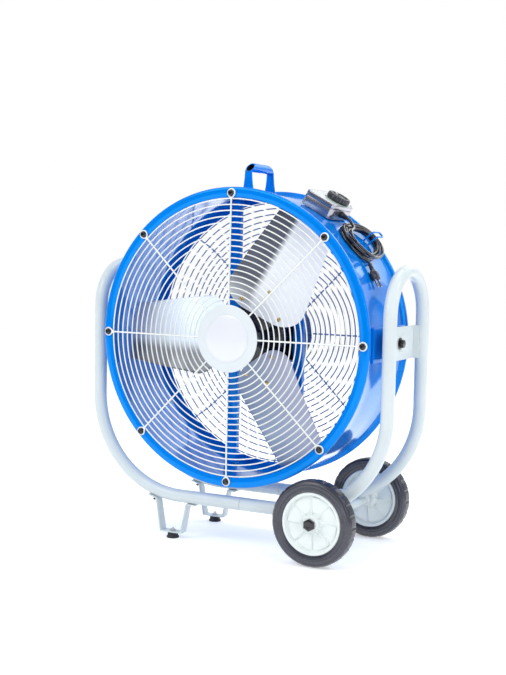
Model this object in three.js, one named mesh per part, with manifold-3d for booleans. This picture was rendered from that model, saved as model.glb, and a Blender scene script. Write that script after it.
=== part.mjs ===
// Portable drum fan in a tube cradle with two wheels. Millimetres, +Z up.
// The origin is on the floor below the tilt axis: +X is the wheel side, -Y is the front of the fan.
import * as THREE from 'three';
import { mergeVertices } from 'three/addons/utils/BufferGeometryUtils.js';
import Module from 'manifold-3d';

const wasm = await Module();
wasm.setup();
const degrees = THREE.MathUtils.radToDeg;

// Fits
const seatGap = 0.3;
const runningGap = 0.05;
const flatTolerance = 0.001;

// Drum
const drumRadius = 346;
const drumSheet = 2;
const rimOverhang = 10;
const rimOuterRadius = drumRadius + rimOverhang;
const flangeInset = 15;
const flangeInnerRadius = drumRadius - flangeInset;
const drumFront = -140;
const drumRear = 110;
const rimDepth = 11;
const rimShoulder = 10;
const rimCorner = 5;
const drumSides = 40;
const padStandoff = 9;
const padFace = drumRadius + padStandoff;
const padHalfHeight = 40;
const padEndClearance = 7;

// Pivot brackets and bolts
const bracketStandoff = 29;
const bracketFace = drumRadius + bracketStandoff;
const bracketThickness = 3;
const bracketHeight = 78;
const bracketFlange = 17;
const pivotBoltRadius = 6;
const pivotWasherRadius = 14;
const pivotWasherThickness = 2.5;
const pivotHeadRadius = 10.5;
const pivotHeadHeight = 8;
const pivotSpacerRadius = 15;
const pivotNutDepth = 9;
const pivotBoltTail = 4;

// Axle and wheels
const wheelRadius = 100;
const wheelWidth = 38;
const railOffset = 105;
const wheelStandoff = 45;
const wheelInnerFace = railOffset + wheelStandoff;
const rimRadius = 72.5;
const rimLip = 6.5;
const rimHalfDepth = 16;
const webHalfThickness = 4;
const wheelRibs = 8;
const wheelRibHalfHeight = 10;
const wheelRibThickness = 3;
const wheelSides = 20;
const wheelHubRadius = 21;
const wheelHubHalfLength = 21;
const axleRadius = 7.75;
const axleTubeRadius = 10.65;
const axleCapAcrossFlats = 25;
const axleCapLength = 11;
const axleCapDepth = 7;

// Tube cradle
const tubeRadius = 15.9;
const tubeWall = 2;
const railAboveAxle = 6;
const railHeight = wheelRadius + railAboveAxle;
const cradleStandoff = 15;
const cradleHalfWidth = bracketFace + cradleStandoff;
const drumRailGap = 27.1;
const pivotHeight = railHeight + tubeRadius + drumRailGap + rimOuterRadius;
const cradleTopRise = 167;
const cradleTopHeight = pivotHeight + cradleTopRise;
const lowerBendRadius = 240;
const lowerBendX = cradleHalfWidth - lowerBendRadius;
const axleRailRise = 19.174;
const axleX = lowerBendX + Math.sqrt(lowerBendRadius ** 2 - (lowerBendRadius - axleRailRise) ** 2);
const seamX = 24;
const spigotLength = 35;
const tubeSides = 12;

// Feet
const footPastBend = 18;
const footX = -lowerBendX - footPastBend;
const footStrapWidth = 26;
const footStrapThickness = 3;
const footStrapTopHalf = 43;
const footStrapBottomHalf = 29;
const footFlangeLength = 24;
const flangeSlack = 0.15;
const footHeight = 14;
const footTopRadius = 13;
const footBottomRadius = 16;
const footBoltRadius = 3;
const footBoltHeadRadius = 6;
const footBoltHeadHeight = 4;

// Carrying handle
const handleRise = 71;
const handleTop = pivotHeight + drumRadius + handleRise;
const handleTubeRadius = 11;
const handleTubeWall = 2;
const handleFront = -64;
const handleRear = 60;
const handlePlateThickness = 4;
const handlePlateInset = 3;
const handleBaseHalfWidth = 14.5;
const handleTopHalfWidth = 13.5;

// Guards
const guardBoltInset = 4.5;
const guardBoltCircle = drumRadius - guardBoltInset;
const guardBolts = 8;
const guardBoltRadius = 3;
const guardBoltHeadRadius = 7.5;
const guardBoltHeadHeight = 6;
const guardBoltLength = 10;
const guardRings = 18;
const innermostRing = 94.55;
const ringPitch = (flangeInnerRadius - 1 - innermostRing) / (guardRings - 1);
const ringWireRadius = 1.6;
const spokeRadius = 2;
const fineRingRadius = 0.72 * drumRadius;
const rearRings = 14;
const rearRingPitch = (flangeInnerRadius - 1 - innermostRing) / (rearRings - 1);
const eyeletRadius = 9.3;
const frontGuardRise = 5;
const rearGuardKneeInset = 41;
const rearGuardKneeRadius = flangeInnerRadius - rearGuardKneeInset;
const rearGuardKneeRise = 26;
const rearGuardRise = 36;
const discRadius = 80;
const discThickness = 2;
const spokeUnderDisc = 16;
const badgeRadius = 56;
const badgeHeight = 3.6;

// Motor and its carrier
const barOffset = 90;
const barWidth = 26;
const barDepth = 18;
const barFront = 45;
const motorRadius = 76.6;
const motorFinDepth = 6;
const motorFins = 24;
const motorFront = 4;
const motorBellFront = -16;
const motorBellRadius = 34;
const cowlRadius = 50;
const cowlRear = 105;
const plateThickness = 4;
const plateHalfHeight = 62;

// Rotor
const shaftRadius = 9.5;
const shaftRear = 30;
const shaftNutRadius = 14;
const shaftNutLength = 9;
const hubRadius = 40;
const hubFront = -80;
const hubRear = -30;
const bladeCount = 3;
const bladeFirstAngle = 60;
const bladeMiddle = -60;
const bladeRoot = 61;
const bladeShoulder = 114;
const bladeTipClearance = 20;
const bladeTipRadius = drumRadius - drumSheet - bladeTipClearance;
const bladeRootHalfWidth = 36;
const bladeShoulderHalfWidth = 95;
const bladeTipHalfWidth = 69;
const bladeRootSlope = 0.33;
const bladeTipSlope = 0.17;
const bladeCamber = 9;
const bladeThickness = 2.4;
const armThickness = 4;
const armInner = 22;
const armShoulder = 84;
const armTip = 138;
const armShoulderHalfWidth = 58;
const armTipHalfWidth = 24;

// Control box, in its own frame: across the drum, along the drum, outwards
const boxAngle = 29.1;
const boxCentreAcross = -3;
const boxWidth = 84;
const boxFront = -39;
const boxRear = 74;
const boxCorner = 8;
const boxBaseHeight = 25;
const boxLidHeight = 11;
const boxSeam = drumRadius + boxBaseHeight;
const boxTop = boxSeam + boxLidHeight;
const knobAcross = 12;
const knobAlong = 22;
const knobRadius = 29;
const knobHeight = 15;
const knobStemRadius = 4;
const knobStemDepth = 8;
const dialRadius = 32;
const dialThickness = 1.2;
const glandAlong = 12;
const glandHeight = 17;
const glandOut = drumRadius + glandHeight;
const glandLength = 20;
const glandRadius = 8.5;

// Cord, hook and plug
const cordDiameter = 7;
const cordSides = 6;
const hankFromBox = 117.15;
const hankAngle = boxAngle + degrees(hankFromBox / drumRadius);
const hankAlong = 12;
const hankHalfAcross = 54;
const hankHalfAlong = 72;
const hankPitch = 7.9;
const hankTurns = 5.03;
const hankStartAngle = -80;
const hankStepsPerTurn = 24;
const hankFloor = 0.5;
const hankLift = 8;
const plugFromHank = 84.54;
const plugAngle = hankAngle + degrees(plugFromHank / drumRadius);
const plugAlong = -26;
const plugLength = 42;
const plugNeckRadius = 5;
const plugHalfWidth = 15;
const plugHalfThickness = 8;
const pinRadius = 2.4;
const pinLength = 19;
const pinSpacing = 19;
const hookAlong = 50;
const hookReach = 42;
const hookHeight = 33;
const hookOut = drumRadius + hookHeight;
const hookHalfSpacing = 7.5;
const hookBend = 8;
const hookWireRadius = 2.3;

// Finishes
const finishes = {
  framePaint: { color: 0xe4edec, roughness: 0.35, metalness: 0.1 },
  bluePaint: { color: 0x0878e8, roughness: 0.2, metalness: 0.1 },
  guardPaint: { color: 0xf2f4f4, roughness: 0.35, metalness: 0.1 },
  discPlastic: { color: 0xe3e9eb, roughness: 0.4, metalness: 0 },
  badgePlastic: { color: 0xf6f8fc, roughness: 0.3, metalness: 0 },
  bladeAluminium: { color: 0xb9c4cf, roughness: 0.25, metalness: 0.9 },
  blackPaint: { color: 0x17171f, roughness: 0.4, metalness: 0.2 },
  blackSteel: { color: 0x15151a, roughness: 0.35, metalness: 0.6 },
  steel: { color: 0xb8bcc0, roughness: 0.3, metalness: 0.9 },
  rubber: { color: 0x262834, roughness: 0.75, metalness: 0 },
  whitePlastic: { color: 0xeef2ee, roughness: 0.4, metalness: 0 },
  greyPlastic: { color: 0x4c5160, roughness: 0.35, metalness: 0 },
  dialPlastic: { color: 0xb9cfc2, roughness: 0.5, metalness: 0 },
  nylon: { color: 0x2a2a30, roughness: 0.6, metalness: 0 },
  cordRubber: { color: 0x1d1a26, roughness: 0.5, metalness: 0 },
};

const xAxis = new THREE.Vector3(1, 0, 0);
const yAxis = new THREE.Vector3(0, 1, 0);
const zAxis = new THREE.Vector3(0, 0, 1);
const radians = THREE.MathUtils.degToRad;
const model = new THREE.Group();
model.name = 'drum_fan';

// ---- general helpers ----

function addMesh(parent, name, geometry, finish) {
  const mesh = new THREE.Mesh(outward(geometry), new THREE.MeshStandardMaterial(finishes[finish]));
  mesh.name = name;
  parent.add(mesh);
  return mesh;
}

// Bore for a round part that turns in it: the flats of the bore clear the corners of the part.
function runningBore(radius, sides) {
  return (radius + runningGap) / Math.cos(Math.PI / sides);
}

function plainPositions(geometry) {
  const bare = geometry.clone();
  for (const name of Object.keys(bare.attributes)) {
    if (name !== 'position') bare.deleteAttribute(name);
  }
  return mergeVertices(bare, 1e-4);
}

// Turns a closed mesh the right way out when its volume comes out negative.
function outward(geometry) {
  const bare = plainPositions(geometry);
  const position = bare.getAttribute('position');
  const index = bare.getIndex().array;
  const [a, b, c] = [new THREE.Vector3(), new THREE.Vector3(), new THREE.Vector3()];
  let volume = 0;
  const kept = [];
  for (let i = 0; i < index.length; i += 3) {
    const corner = [index[i], index[i + 1], index[i + 2]];
    if (corner[0] === corner[1] || corner[1] === corner[2] || corner[0] === corner[2]) continue;
    a.fromBufferAttribute(position, corner[0]);
    b.fromBufferAttribute(position, corner[1]);
    c.fromBufferAttribute(position, corner[2]);
    volume += a.dot(b.cross(c));
    kept.push(corner);
  }
  const order = volume < 0 ? kept.map(([i, j, k]) => [i, k, j]) : kept;
  bare.setIndex(order.flat());
  bare.computeVertexNormals();
  return bare;
}

function toSolid(geometry) {
  const closed = outward(geometry);
  const vertProperties = new Float32Array(closed.getAttribute('position').array);
  const triVerts = new Uint32Array(closed.getIndex().array);
  return new wasm.Manifold(new wasm.Mesh({ numProp: 3, vertProperties, triVerts }));
}

function fromSolid(solid) {
  const { vertProperties, triVerts } = solid.getMesh();
  const geometry = new THREE.BufferGeometry();
  geometry.setAttribute('position', new THREE.BufferAttribute(new Float32Array(vertProperties), 3));
  geometry.setIndex(Array.from(triVerts));
  return geometry;
}

function cut(geometry, tools) {
  let solid = toSolid(geometry);
  for (const tool of tools) solid = solid.subtract(toSolid(tool));
  return fromSolid(solid);
}

function join(geometries) {
  let solid = toSolid(geometries[0]);
  for (const other of geometries.slice(1)) solid = solid.add(toSolid(other));
  return fromSolid(solid.asOriginal().simplify(flatTolerance));
}

// Closed solid of revolution about Y through [radius, along] points.
function turned(points, sides) {
  const profile = points.map(([radius, along]) => new THREE.Vector2(radius, along));
  if (points[0][0] > 0) profile.push(profile[0].clone());
  return new THREE.LatheGeometry(profile, sides);
}

function rod(radius, from, to, sides) {
  return turned([[0, from], [radius, from], [radius, to], [0, to]], sides);
}

function sleeve(outer, inner, from, to, sides) {
  return turned([[inner, from], [outer, from], [outer, to], [inner, to]], sides);
}

function smooth(t) {
  const s = Math.min(1, Math.max(0, t));
  return s * s * (3 - 2 * s);
}

function hexAcross(flats) {
  return flats / 2 / Math.cos(Math.PI / 6);
}

// Lathe geometry stands along Y; this points it outwards along X on one side.
function pointSideways(geometry, side) {
  return geometry.rotateZ(-side * Math.PI / 2);
}

// Skin over rings of equal size; a loop of rings closes on itself, others get flat ends.
function loft(rings, closed = false) {
  const size = rings[0].length;
  const positions = rings.flat().flatMap((point) => [point.x, point.y, point.z]);
  const index = [];
  const spans = closed ? rings.length : rings.length - 1;
  for (let i = 0; i < spans; i += 1) {
    const next = (i + 1) % rings.length;
    for (let j = 0; j < size; j += 1) {
      const side = (j + 1) % size;
      const [a, b] = [i * size + j, i * size + side];
      const [c, d] = [next * size + side, next * size + j];
      index.push(a, b, c, a, c, d);
    }
  }
  if (!closed) {
    const last = (rings.length - 1) * size;
    for (let j = 1; j < size - 1; j += 1) {
      index.push(0, j + 1, j, last, last + j, last + j + 1);
    }
  }
  const geometry = new THREE.BufferGeometry();
  geometry.setAttribute('position', new THREE.Float32BufferAttribute(positions, 3));
  geometry.setIndex(index);
  return geometry;
}

// Centreline of a bent tube: straight runs and bends, as points with their directions.
function tubeStations(start, direction, moves, bendStep = 18) {
  let point = start.clone();
  let heading = direction.clone().normalize();
  const stations = [{ point, heading }];
  for (const move of moves) {
    if (move.straight !== undefined) {
      point = point.clone().addScaledVector(heading, move.straight);
      stations.push({ point, heading });
    } else {
      const axis = heading.clone().cross(move.to).normalize();
      const centre = point.clone().addScaledVector(move.to, move.bend);
      const steps = Math.round(90 / bendStep);
      const [from, first] = [point, heading];
      for (let i = 1; i <= steps; i += 1) {
        const angle = (i / steps) * Math.PI / 2;
        point = from.clone().sub(centre).applyAxisAngle(axis, angle).add(centre);
        heading = first.clone().applyAxisAngle(axis, angle);
        stations.push({ point, heading });
      }
    }
  }
  return stations;
}

function stationsThrough(points) {
  return points.map((point, i) => {
    const before = points[Math.max(0, i - 1)];
    const after = points[Math.min(points.length - 1, i + 1)];
    return { point, heading: after.clone().sub(before).normalize() };
  });
}

// Round sections carried along the stations without twist.
function tubeRings(stations, radii, sides) {
  const first = stations[0].heading;
  const helper = Math.abs(first.z) < 0.9 ? zAxis : xAxis;
  const across = helper.clone().cross(first).normalize();
  let previous = first;
  return stations.map(({ point, heading }, i) => {
    across.applyQuaternion(new THREE.Quaternion().setFromUnitVectors(previous, heading));
    across.addScaledVector(heading, -across.dot(heading)).normalize();
    previous = heading;
    const other = heading.clone().cross(across);
    const radius = Array.isArray(radii) ? radii[i] : radii;
    return Array.from({ length: sides }, (_, j) => {
      const angle = (j / sides) * 2 * Math.PI;
      return point.clone()
        .addScaledVector(across, radius * Math.cos(angle))
        .addScaledVector(other, radius * Math.sin(angle));
    });
  });
}

function solidTube(stations, radius, sides) {
  return loft(tubeRings(stations, radius, sides));
}

function hollowTube(stations, outerRadii, innerRadii, sides) {
  const outside = tubeRings(stations, outerRadii, sides);
  const inside = tubeRings(stations, innerRadii, sides);
  return loft([...outside, ...inside.reverse()], true);
}

// Flat outline in XZ, given thickness along Y from one face to the other.
function plateAlongY(outline, from, to, holes = []) {
  const shape = new THREE.Shape(outline.map(([x, z]) => new THREE.Vector2(x, z)));
  for (const hole of holes) {
    shape.holes.push(new THREE.Path(hole.map(([x, z]) => new THREE.Vector2(x, z))));
  }
  const geometry = new THREE.ExtrudeGeometry(shape, { depth: to - from, bevelEnabled: false });
  return geometry.rotateX(Math.PI / 2).translate(0, to, 0);
}

function plateAlongZ(outline, from, to) {
  const shape = new THREE.Shape(outline.map(([x, y]) => new THREE.Vector2(x, y)));
  const geometry = new THREE.ExtrudeGeometry(shape, { depth: to - from, bevelEnabled: false });
  return geometry.translate(0, 0, from);
}

function circlePoints(radius, sides, centre = [0, 0]) {
  return Array.from({ length: sides }, (_, i) => {
    const angle = ((i + 0.5) / sides) * 2 * Math.PI;
    return [centre[0] + radius * Math.cos(angle), centre[1] + radius * Math.sin(angle)];
  });
}

// Outline of a bent strip: the centreline points set off half a thickness to each side.
function stripOutline(points, thickness) {
  const line = points.map(([x, z]) => new THREE.Vector2(x, z));
  const offset = (sign) => line.map((point, i) => {
    const into = i > 0 ? point.clone().sub(line[i - 1]).normalize() : null;
    const out = i < line.length - 1 ? line[i + 1].clone().sub(point).normalize() : null;
    const along = (into && out ? into.clone().add(out) : into ?? out).normalize();
    const normal = new THREE.Vector2(-along.y, along.x);
    const lean = into ? Math.abs(into.x * along.x + into.y * along.y) : 1;
    return point.clone().addScaledVector(normal, (sign * thickness) / 2 / lean).toArray();
  });
  return [...offset(1), ...offset(-1).reverse()];
}

// ---- tube cradle ----

function cradleStations(side) {
  const seam = seamX + (side * seatGap) / 2;
  const outwards = new THREE.Vector3(side, 0, 0);
  const down = zAxis.clone().negate();
  const railLength = cradleHalfWidth - lowerBendRadius - side * seam;
  const legLength = cradleTopHeight - railOffset - railHeight - lowerBendRadius;
  return tubeStations(new THREE.Vector3(seam, -railOffset, railHeight), outwards, [
    { straight: railLength },
    { bend: lowerBendRadius, to: zAxis },
    { straight: legLength },
    { bend: railOffset, to: yAxis },
    { bend: railOffset, to: down },
    { straight: legLength },
    { bend: lowerBendRadius, to: outwards.clone().negate() },
    { straight: railLength },
  ]);
}

function cradleRight() {
  return hollowTube(cradleStations(1), tubeRadius, tubeRadius - tubeWall, tubeSides);
}

// The left loop carries a reduced spigot at each end that slides into the right loop.
function cradleLeft() {
  const run = cradleStations(-1);
  const spigot = tubeRadius - tubeWall - seatGap;
  const tip = new THREE.Vector3(spigotLength, 0, 0);
  const start = run[0];
  const end = run[run.length - 1];
  const stations = [
    { point: start.point.clone().add(tip), heading: start.heading },
    start,
    ...run,
    end,
    { point: end.point.clone().add(tip), heading: end.heading },
  ];
  const tubes = run.map(() => tubeRadius);
  const bores = run.map(() => tubeRadius - tubeWall);
  bores[0] = spigot - tubeWall;
  bores[bores.length - 1] = spigot - tubeWall;
  const outerRadii = [spigot, spigot, ...tubes, spigot, spigot];
  const innerRadii = [spigot - tubeWall, spigot - tubeWall, ...bores, spigot - tubeWall, spigot - tubeWall];
  return steppedTube(stations, outerRadii, innerRadii);
}

// Like hollowTube, but drops the inner ring that would repeat at each step of the outside.
function steppedTube(stations, outerRadii, innerRadii) {
  const outside = tubeRings(stations, outerRadii, tubeSides);
  const inside = tubeRings(stations, innerRadii, tubeSides);
  const kept = inside.filter((_, i) => i !== 1 && i !== inside.length - 2);
  return loft([...outside, ...kept.reverse()], true);
}

const axlePoint = new THREE.Vector3(axleX, 0, wheelRadius);
const axleTubeEnd = wheelInnerFace - 4;

function railBlank() {
  const rail = cradleStations(1).slice(0, 7);
  return solidTube(rail, tubeRadius + seatGap / Math.cos(Math.PI / tubeSides), tubeSides);
}

// The axle tube is notched to sit up against the undersides of both rails.
function axleTube() {
  const bore = axleRadius + seatGap;
  const tube = sleeve(axleTubeRadius, bore, -axleTubeEnd, axleTubeEnd, 16);
  tube.translate(axlePoint.x, axlePoint.y, axlePoint.z);
  const front = railBlank();
  const rear = railBlank().translate(0, 2 * railOffset, 0);
  return cut(tube, [front, rear]);
}

function buildCradle() {
  addMesh(model, 'frame_loop_left', cradleLeft(), 'framePaint');
  addMesh(model, 'frame_loop_right', cradleRight(), 'framePaint');
  addMesh(model, 'axle_tube', axleTube(), 'framePaint');
}

// ---- wheels ----

const wheelHubOuter = wheelInnerFace + wheelWidth / 2 + wheelHubHalfLength;
const axleEnd = wheelHubOuter + axleCapLength - 3;

function wheelRim() {
  const bore = runningBore(axleRadius, wheelSides);
  const lip = rimRadius - rimLip;
  const half = [
    [bore, wheelHubHalfLength],
    [wheelHubRadius, wheelHubHalfLength],
    [wheelHubRadius + 3, webHalfThickness],
    [lip - 3, webHalfThickness],
    [lip, rimHalfDepth],
    [rimRadius, rimHalfDepth],
  ];
  const profile = [...half.map(([r, y]) => [r, -y]), ...half.reverse()];
  const ribLength = lip - wheelHubRadius - 2;
  const ribs = Array.from({ length: wheelRibs }, (_, i) => {
    const rib = new THREE.BoxGeometry(ribLength, 2 * wheelRibHalfHeight, wheelRibThickness);
    rib.translate(wheelHubRadius + 1 + ribLength / 2, 0, 0);
    return rib.rotateY(((i + 0.5) / wheelRibs) * 2 * Math.PI);
  });
  return join([turned(profile, wheelSides), ...ribs]);
}

function tyre() {
  const inner = rimRadius + seatGap;
  const half = [
    [inner, rimHalfDepth + 0.5],
    [inner + 5, wheelWidth / 2],
    [wheelRadius - 8, wheelWidth / 2],
    [wheelRadius, wheelWidth / 2 - 7],
  ];
  return turned([...half.map(([r, y]) => [r, -y]), ...half.reverse()], wheelSides);
}

// Black hexagon cap pushed over the axle end.
function axleCap() {
  const corner = hexAcross(axleCapAcrossFlats);
  const start = wheelHubOuter + seatGap;
  const mouth = (axleRadius + seatGap) / Math.cos(Math.PI / 6);
  const profile = [
    [mouth, start],
    [corner, start],
    [corner, start + axleCapLength - 2],
    [corner - 3, start + axleCapLength],
    [0, start + axleCapLength],
    [0, start + axleCapDepth],
    [mouth, start + axleCapDepth],
  ];
  const shape = profile.map(([radius, along]) => new THREE.Vector2(radius, along));
  shape.push(shape[0].clone());
  return new THREE.LatheGeometry(shape, 6);
}

function buildWheels() {
  const rodEnd = wheelHubOuter + axleCapDepth;
  const axle = addMesh(model, 'axle_rod', rod(axleRadius, -rodEnd, rodEnd, wheelSides), 'steel');
  axle.position.copy(axlePoint);
  for (const [name, side] of [['front', -1], ['rear', 1]]) {
    const centre = side * (wheelInnerFace + wheelWidth / 2);
    const place = new THREE.Group();
    place.position.set(axleX, centre, wheelRadius);
    model.add(place);
    addMesh(place, `wheel_rim_${name}`, wheelRim(), 'whitePlastic');
    addMesh(place, `tyre_${name}`, tyre(), 'rubber');
    const cap = addMesh(model, `axle_cap_${name}`, axleCap(), 'blackPaint');
    cap.position.copy(axlePoint);
    if (side < 0) cap.rotation.z = Math.PI;
  }
}

// ---- feet ----

const strapFloor = footHeight + seatGap + footStrapThickness / 2;

// Underside of the rail at a distance along it, where the flange lies with a small gap.
function underRail(x) {
  const bendStart = -(cradleHalfWidth - lowerBendRadius);
  const drop = tubeRadius + seatGap + footStrapThickness / 2;
  const bendCentre = railHeight + lowerBendRadius;
  if (x >= bendStart) return railHeight - drop;
  const across = x - bendStart;
  return bendCentre - Math.sqrt((lowerBendRadius + drop) ** 2 - across ** 2);
}

function footStrapLine() {
  const leftTop = footX - footStrapTopHalf;
  const rightTop = footX + footStrapTopHalf;
  const left = leftTop - footFlangeLength;
  const right = rightTop + footFlangeLength;
  return [
    [left, underRail(left) - flangeSlack],
    [leftTop, underRail(leftTop) - flangeSlack],
    [footX - footStrapBottomHalf, strapFloor],
    [footX + footStrapBottomHalf, strapFloor],
    [rightTop, underRail(rightTop)],
    [right, underRail(right)],
  ];
}

function footStrap() {
  const outline = stripOutline(footStrapLine(), footStrapThickness);
  const strap = plateAlongY(outline, -footStrapWidth / 2, footStrapWidth / 2);
  const hole = rod(footBoltRadius + seatGap, -20, 20, 12).rotateX(Math.PI / 2);
  return cut(strap, [hole.translate(footX, 0, strapFloor)]);
}

function rubberFoot() {
  const recess = footBoltHeadRadius;
  const profile = [
    [footBoltRadius + seatGap, 4],
    [recess, 4],
    [recess, 0],
    [footBottomRadius - 1, 0],
    [footBottomRadius, 2],
    [footTopRadius, footHeight],
    [footBoltRadius + seatGap, footHeight],
  ];
  return turned(profile, 12).rotateX(Math.PI / 2);
}

// Bolt up through the rubber foot and the strap, with its nut on top.
function footBolt() {
  const nutBase = strapFloor + footStrapThickness / 2 + seatGap;
  const nutTop = nutBase + 4;
  const profile = [
    [0, 1],
    [footBoltHeadRadius - seatGap, 1],
    [footBoltHeadRadius - seatGap, 4 - seatGap],
    [footBoltRadius, 4 - seatGap],
    [footBoltRadius, nutBase],
    [footBoltHeadRadius, nutBase],
    [footBoltHeadRadius, nutTop],
    [footBoltRadius, nutTop],
    [footBoltRadius, nutTop + footBoltHeadHeight],
    [0, nutTop + footBoltHeadHeight],
  ];
  return turned(profile, 8).rotateX(Math.PI / 2);
}

function buildFeet() {
  for (const [name, side] of [['front', -1], ['rear', 1]]) {
    const place = new THREE.Group();
    place.position.y = side * railOffset;
    model.add(place);
    addMesh(place, `foot_bracket_${name}`, footStrap(), 'framePaint');
    addMesh(place, `rubber_foot_${name}`, rubberFoot().translate(footX, 0, 0), 'rubber');
    addMesh(place, `foot_bolt_${name}`, footBolt().translate(footX, 0, 0), 'steel');
  }
}

// ---- pivots ----

const boltSides = 12;
const pivotBore = runningBore(pivotBoltRadius, boltSides);

function pivotBlank(from, to) {
  return rod(pivotBore, from, to, boltSides);
}

// Channel welded between the two legs of one loop, its flanges against the tubes.
function pivotBracket(side) {
  const reach = railOffset - tubeRadius - seatGap;
  const inner = bracketFace - bracketThickness;
  const outer = inner + bracketFlange;
  const outline = [
    [inner, -reach],
    [outer, -reach],
    [outer, -reach + bracketThickness],
    [bracketFace, -reach + bracketThickness],
    [bracketFace, reach - bracketThickness],
    [outer, reach - bracketThickness],
    [outer, reach],
    [inner, reach],
  ];
  const channel = plateAlongZ(outline, -bracketHeight / 2, bracketHeight / 2);
  if (side < 0) channel.rotateZ(Math.PI);
  const hole = pointSideways(pivotBlank(inner - 5, bracketFace + 5), side);
  return cut(channel, [hole]);
}

function pivotBolt() {
  const seat = bracketFace + seatGap;
  const washer = seat + pivotWasherThickness;
  const tail = innerWallAtPivot() - pivotNutDepth - pivotBoltTail;
  return turned([
    [0, tail],
    [pivotBoltRadius, tail],
    [pivotBoltRadius, seat],
    [pivotWasherRadius, seat],
    [pivotWasherRadius, washer],
    [pivotHeadRadius, washer],
    [pivotHeadRadius, washer + pivotHeadHeight],
    [0, washer + pivotHeadHeight],
  ], boltSides);
}

// The drum wall is faceted, so the flats stand a little inside the nominal radius.
function innerWallAtPivot() {
  return (drumRadius - drumSheet) * Math.cos(Math.PI / drumSides) - seatGap;
}

function pivotNut() {
  const face = innerWallAtPivot();
  return sleeve(pivotHeadRadius, pivotBoltRadius + seatGap, face - pivotNutDepth, face, boltSides);
}

function pivotSpacer() {
  const from = padFace + seatGap;
  const to = bracketFace - bracketThickness - seatGap;
  return sleeve(pivotSpacerRadius, pivotBoltRadius + seatGap, from, to, boltSides);
}

function buildPivots() {
  for (const [name, side] of [['left', -1], ['right', 1]]) {
    const place = new THREE.Group();
    place.position.z = pivotHeight;
    model.add(place);
    addMesh(place, `pivot_bracket_${name}`, pivotBracket(side), 'framePaint');
    addMesh(place, `pivot_bolt_${name}`, pointSideways(pivotBolt(), side), 'blackSteel');
    addMesh(place, `pivot_spacer_${name}`, pointSideways(pivotSpacer(), side), 'nylon');
    addMesh(place, `pivot_nut_${name}`, pointSideways(pivotNut(), side), 'steel');
  }
}

// ---- drum ----

const drum = new THREE.Group();
drum.position.z = pivotHeight;
model.add(drum);

// Half of the drum's section at one end: flat flange, rounded rim, shoulder down to the wall.
function rimOutside(face, inwards) {
  return [
    [flangeInnerRadius, face],
    [rimOuterRadius - rimCorner, face],
    [rimOuterRadius, face + inwards * rimCorner],
    [rimOuterRadius, face + inwards * rimDepth],
    [drumRadius, face + inwards * (rimDepth + rimShoulder)],
  ];
}

function rimInside(face, inwards) {
  return [
    [flangeInnerRadius, face + inwards * drumSheet],
    [rimOuterRadius - rimCorner - 1, face + inwards * drumSheet],
    [drumRadius - drumSheet, face + inwards * (rimDepth + rimShoulder)],
  ];
}

function boltDirections() {
  return Array.from({ length: guardBolts }, (_, i) => (i / guardBolts) * 2 * Math.PI);
}

function drumShell() {
  const outside = [...rimOutside(drumFront, 1), ...rimOutside(drumRear, -1).reverse()];
  const inside = [...rimInside(drumFront, 1), ...rimInside(drumRear, -1).reverse()];
  const shell = turned([...outside, ...inside.reverse()], drumSides);
  const holes = boltDirections().map((angle) => {
    const hole = rod(guardBoltRadius + seatGap, drumFront - 4, drumFront + drumSheet + 4, 8);
    return hole.translate(guardBoltCircle * Math.sin(angle), 0, guardBoltCircle * Math.cos(angle));
  });
  const pivots = [-1, 1].map((side) => {
    const hole = pivotBlank(drumRadius - drumSheet - 8, drumRadius + 8);
    return pointSideways(hole, side);
  });
  return cut(shell, [...holes, ...pivots]);
}

// Reinforcing block between drum wall and pivot: curved on the wall, flat on the outside.
function pivotPad(side) {
  const reach = Math.asin(padHalfHeight / drumRadius);
  const seat = drumRadius + seatGap / 2;
  const steps = 4;
  const curve = Array.from({ length: steps + 1 }, (_, i) => {
    const angle = reach * (1 - (2 * i) / steps);
    return [seat * Math.cos(angle), seat * Math.sin(angle)];
  });
  const outline = [...curve, [padFace, -padHalfHeight], [padFace, padHalfHeight]];
  const from = drumFront + rimDepth + rimShoulder + padEndClearance;
  const to = drumRear - rimDepth - rimShoulder - padEndClearance;
  const block = plateAlongY(outline.map(([x, z]) => [side * x, z]), from, to);
  const hole = pointSideways(pivotBlank(drumRadius - 8, padFace + 4), side);
  return cut(block, [hole]);
}

const handleHeight = handleTop - pivotHeight - handleTubeRadius;

function handlePlate() {
  const base = drumRadius + seatGap / 2;
  const steps = 8;
  const crown = Array.from({ length: steps + 1 }, (_, i) => {
    const angle = (i / steps) * Math.PI;
    return [handleTopHalfWidth * Math.cos(angle), handleHeight + handleTopHalfWidth * Math.sin(angle)];
  });
  const outline = [[-handleBaseHalfWidth, base], [handleBaseHalfWidth, base], ...crown];
  const hole = circlePoints(handleTubeRadius + seatGap, 16, [0, handleHeight]);
  return [outline, hole];
}

function buildHandle() {
  const [outline, hole] = handlePlate();
  const frontFace = handleFront + handlePlateInset;
  const rearFace = handleRear - handlePlateInset;
  const front = plateAlongY(outline, frontFace, frontFace + handlePlateThickness, [hole]);
  const rear = plateAlongY(outline, rearFace - handlePlateThickness, rearFace, [hole]);
  addMesh(drum, 'handle_plate_front', front, 'bluePaint');
  addMesh(drum, 'handle_plate_rear', rear, 'bluePaint');
  const inner = handleTubeRadius - handleTubeWall;
  const tube = sleeve(handleTubeRadius, inner, handleFront, handleRear, 16);
  tube.rotateY(Math.PI / 16);
  addMesh(drum, 'handle_tube', tube.translate(0, 0, handleHeight), 'bluePaint');
}

function buildDrum() {
  addMesh(drum, 'drum_shell', drumShell(), 'bluePaint');
  addMesh(drum, 'pivot_pad_left', pivotPad(-1), 'bluePaint');
  addMesh(drum, 'pivot_pad_right', pivotPad(1), 'bluePaint');
  buildHandle();
}

// ---- guards ----

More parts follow.
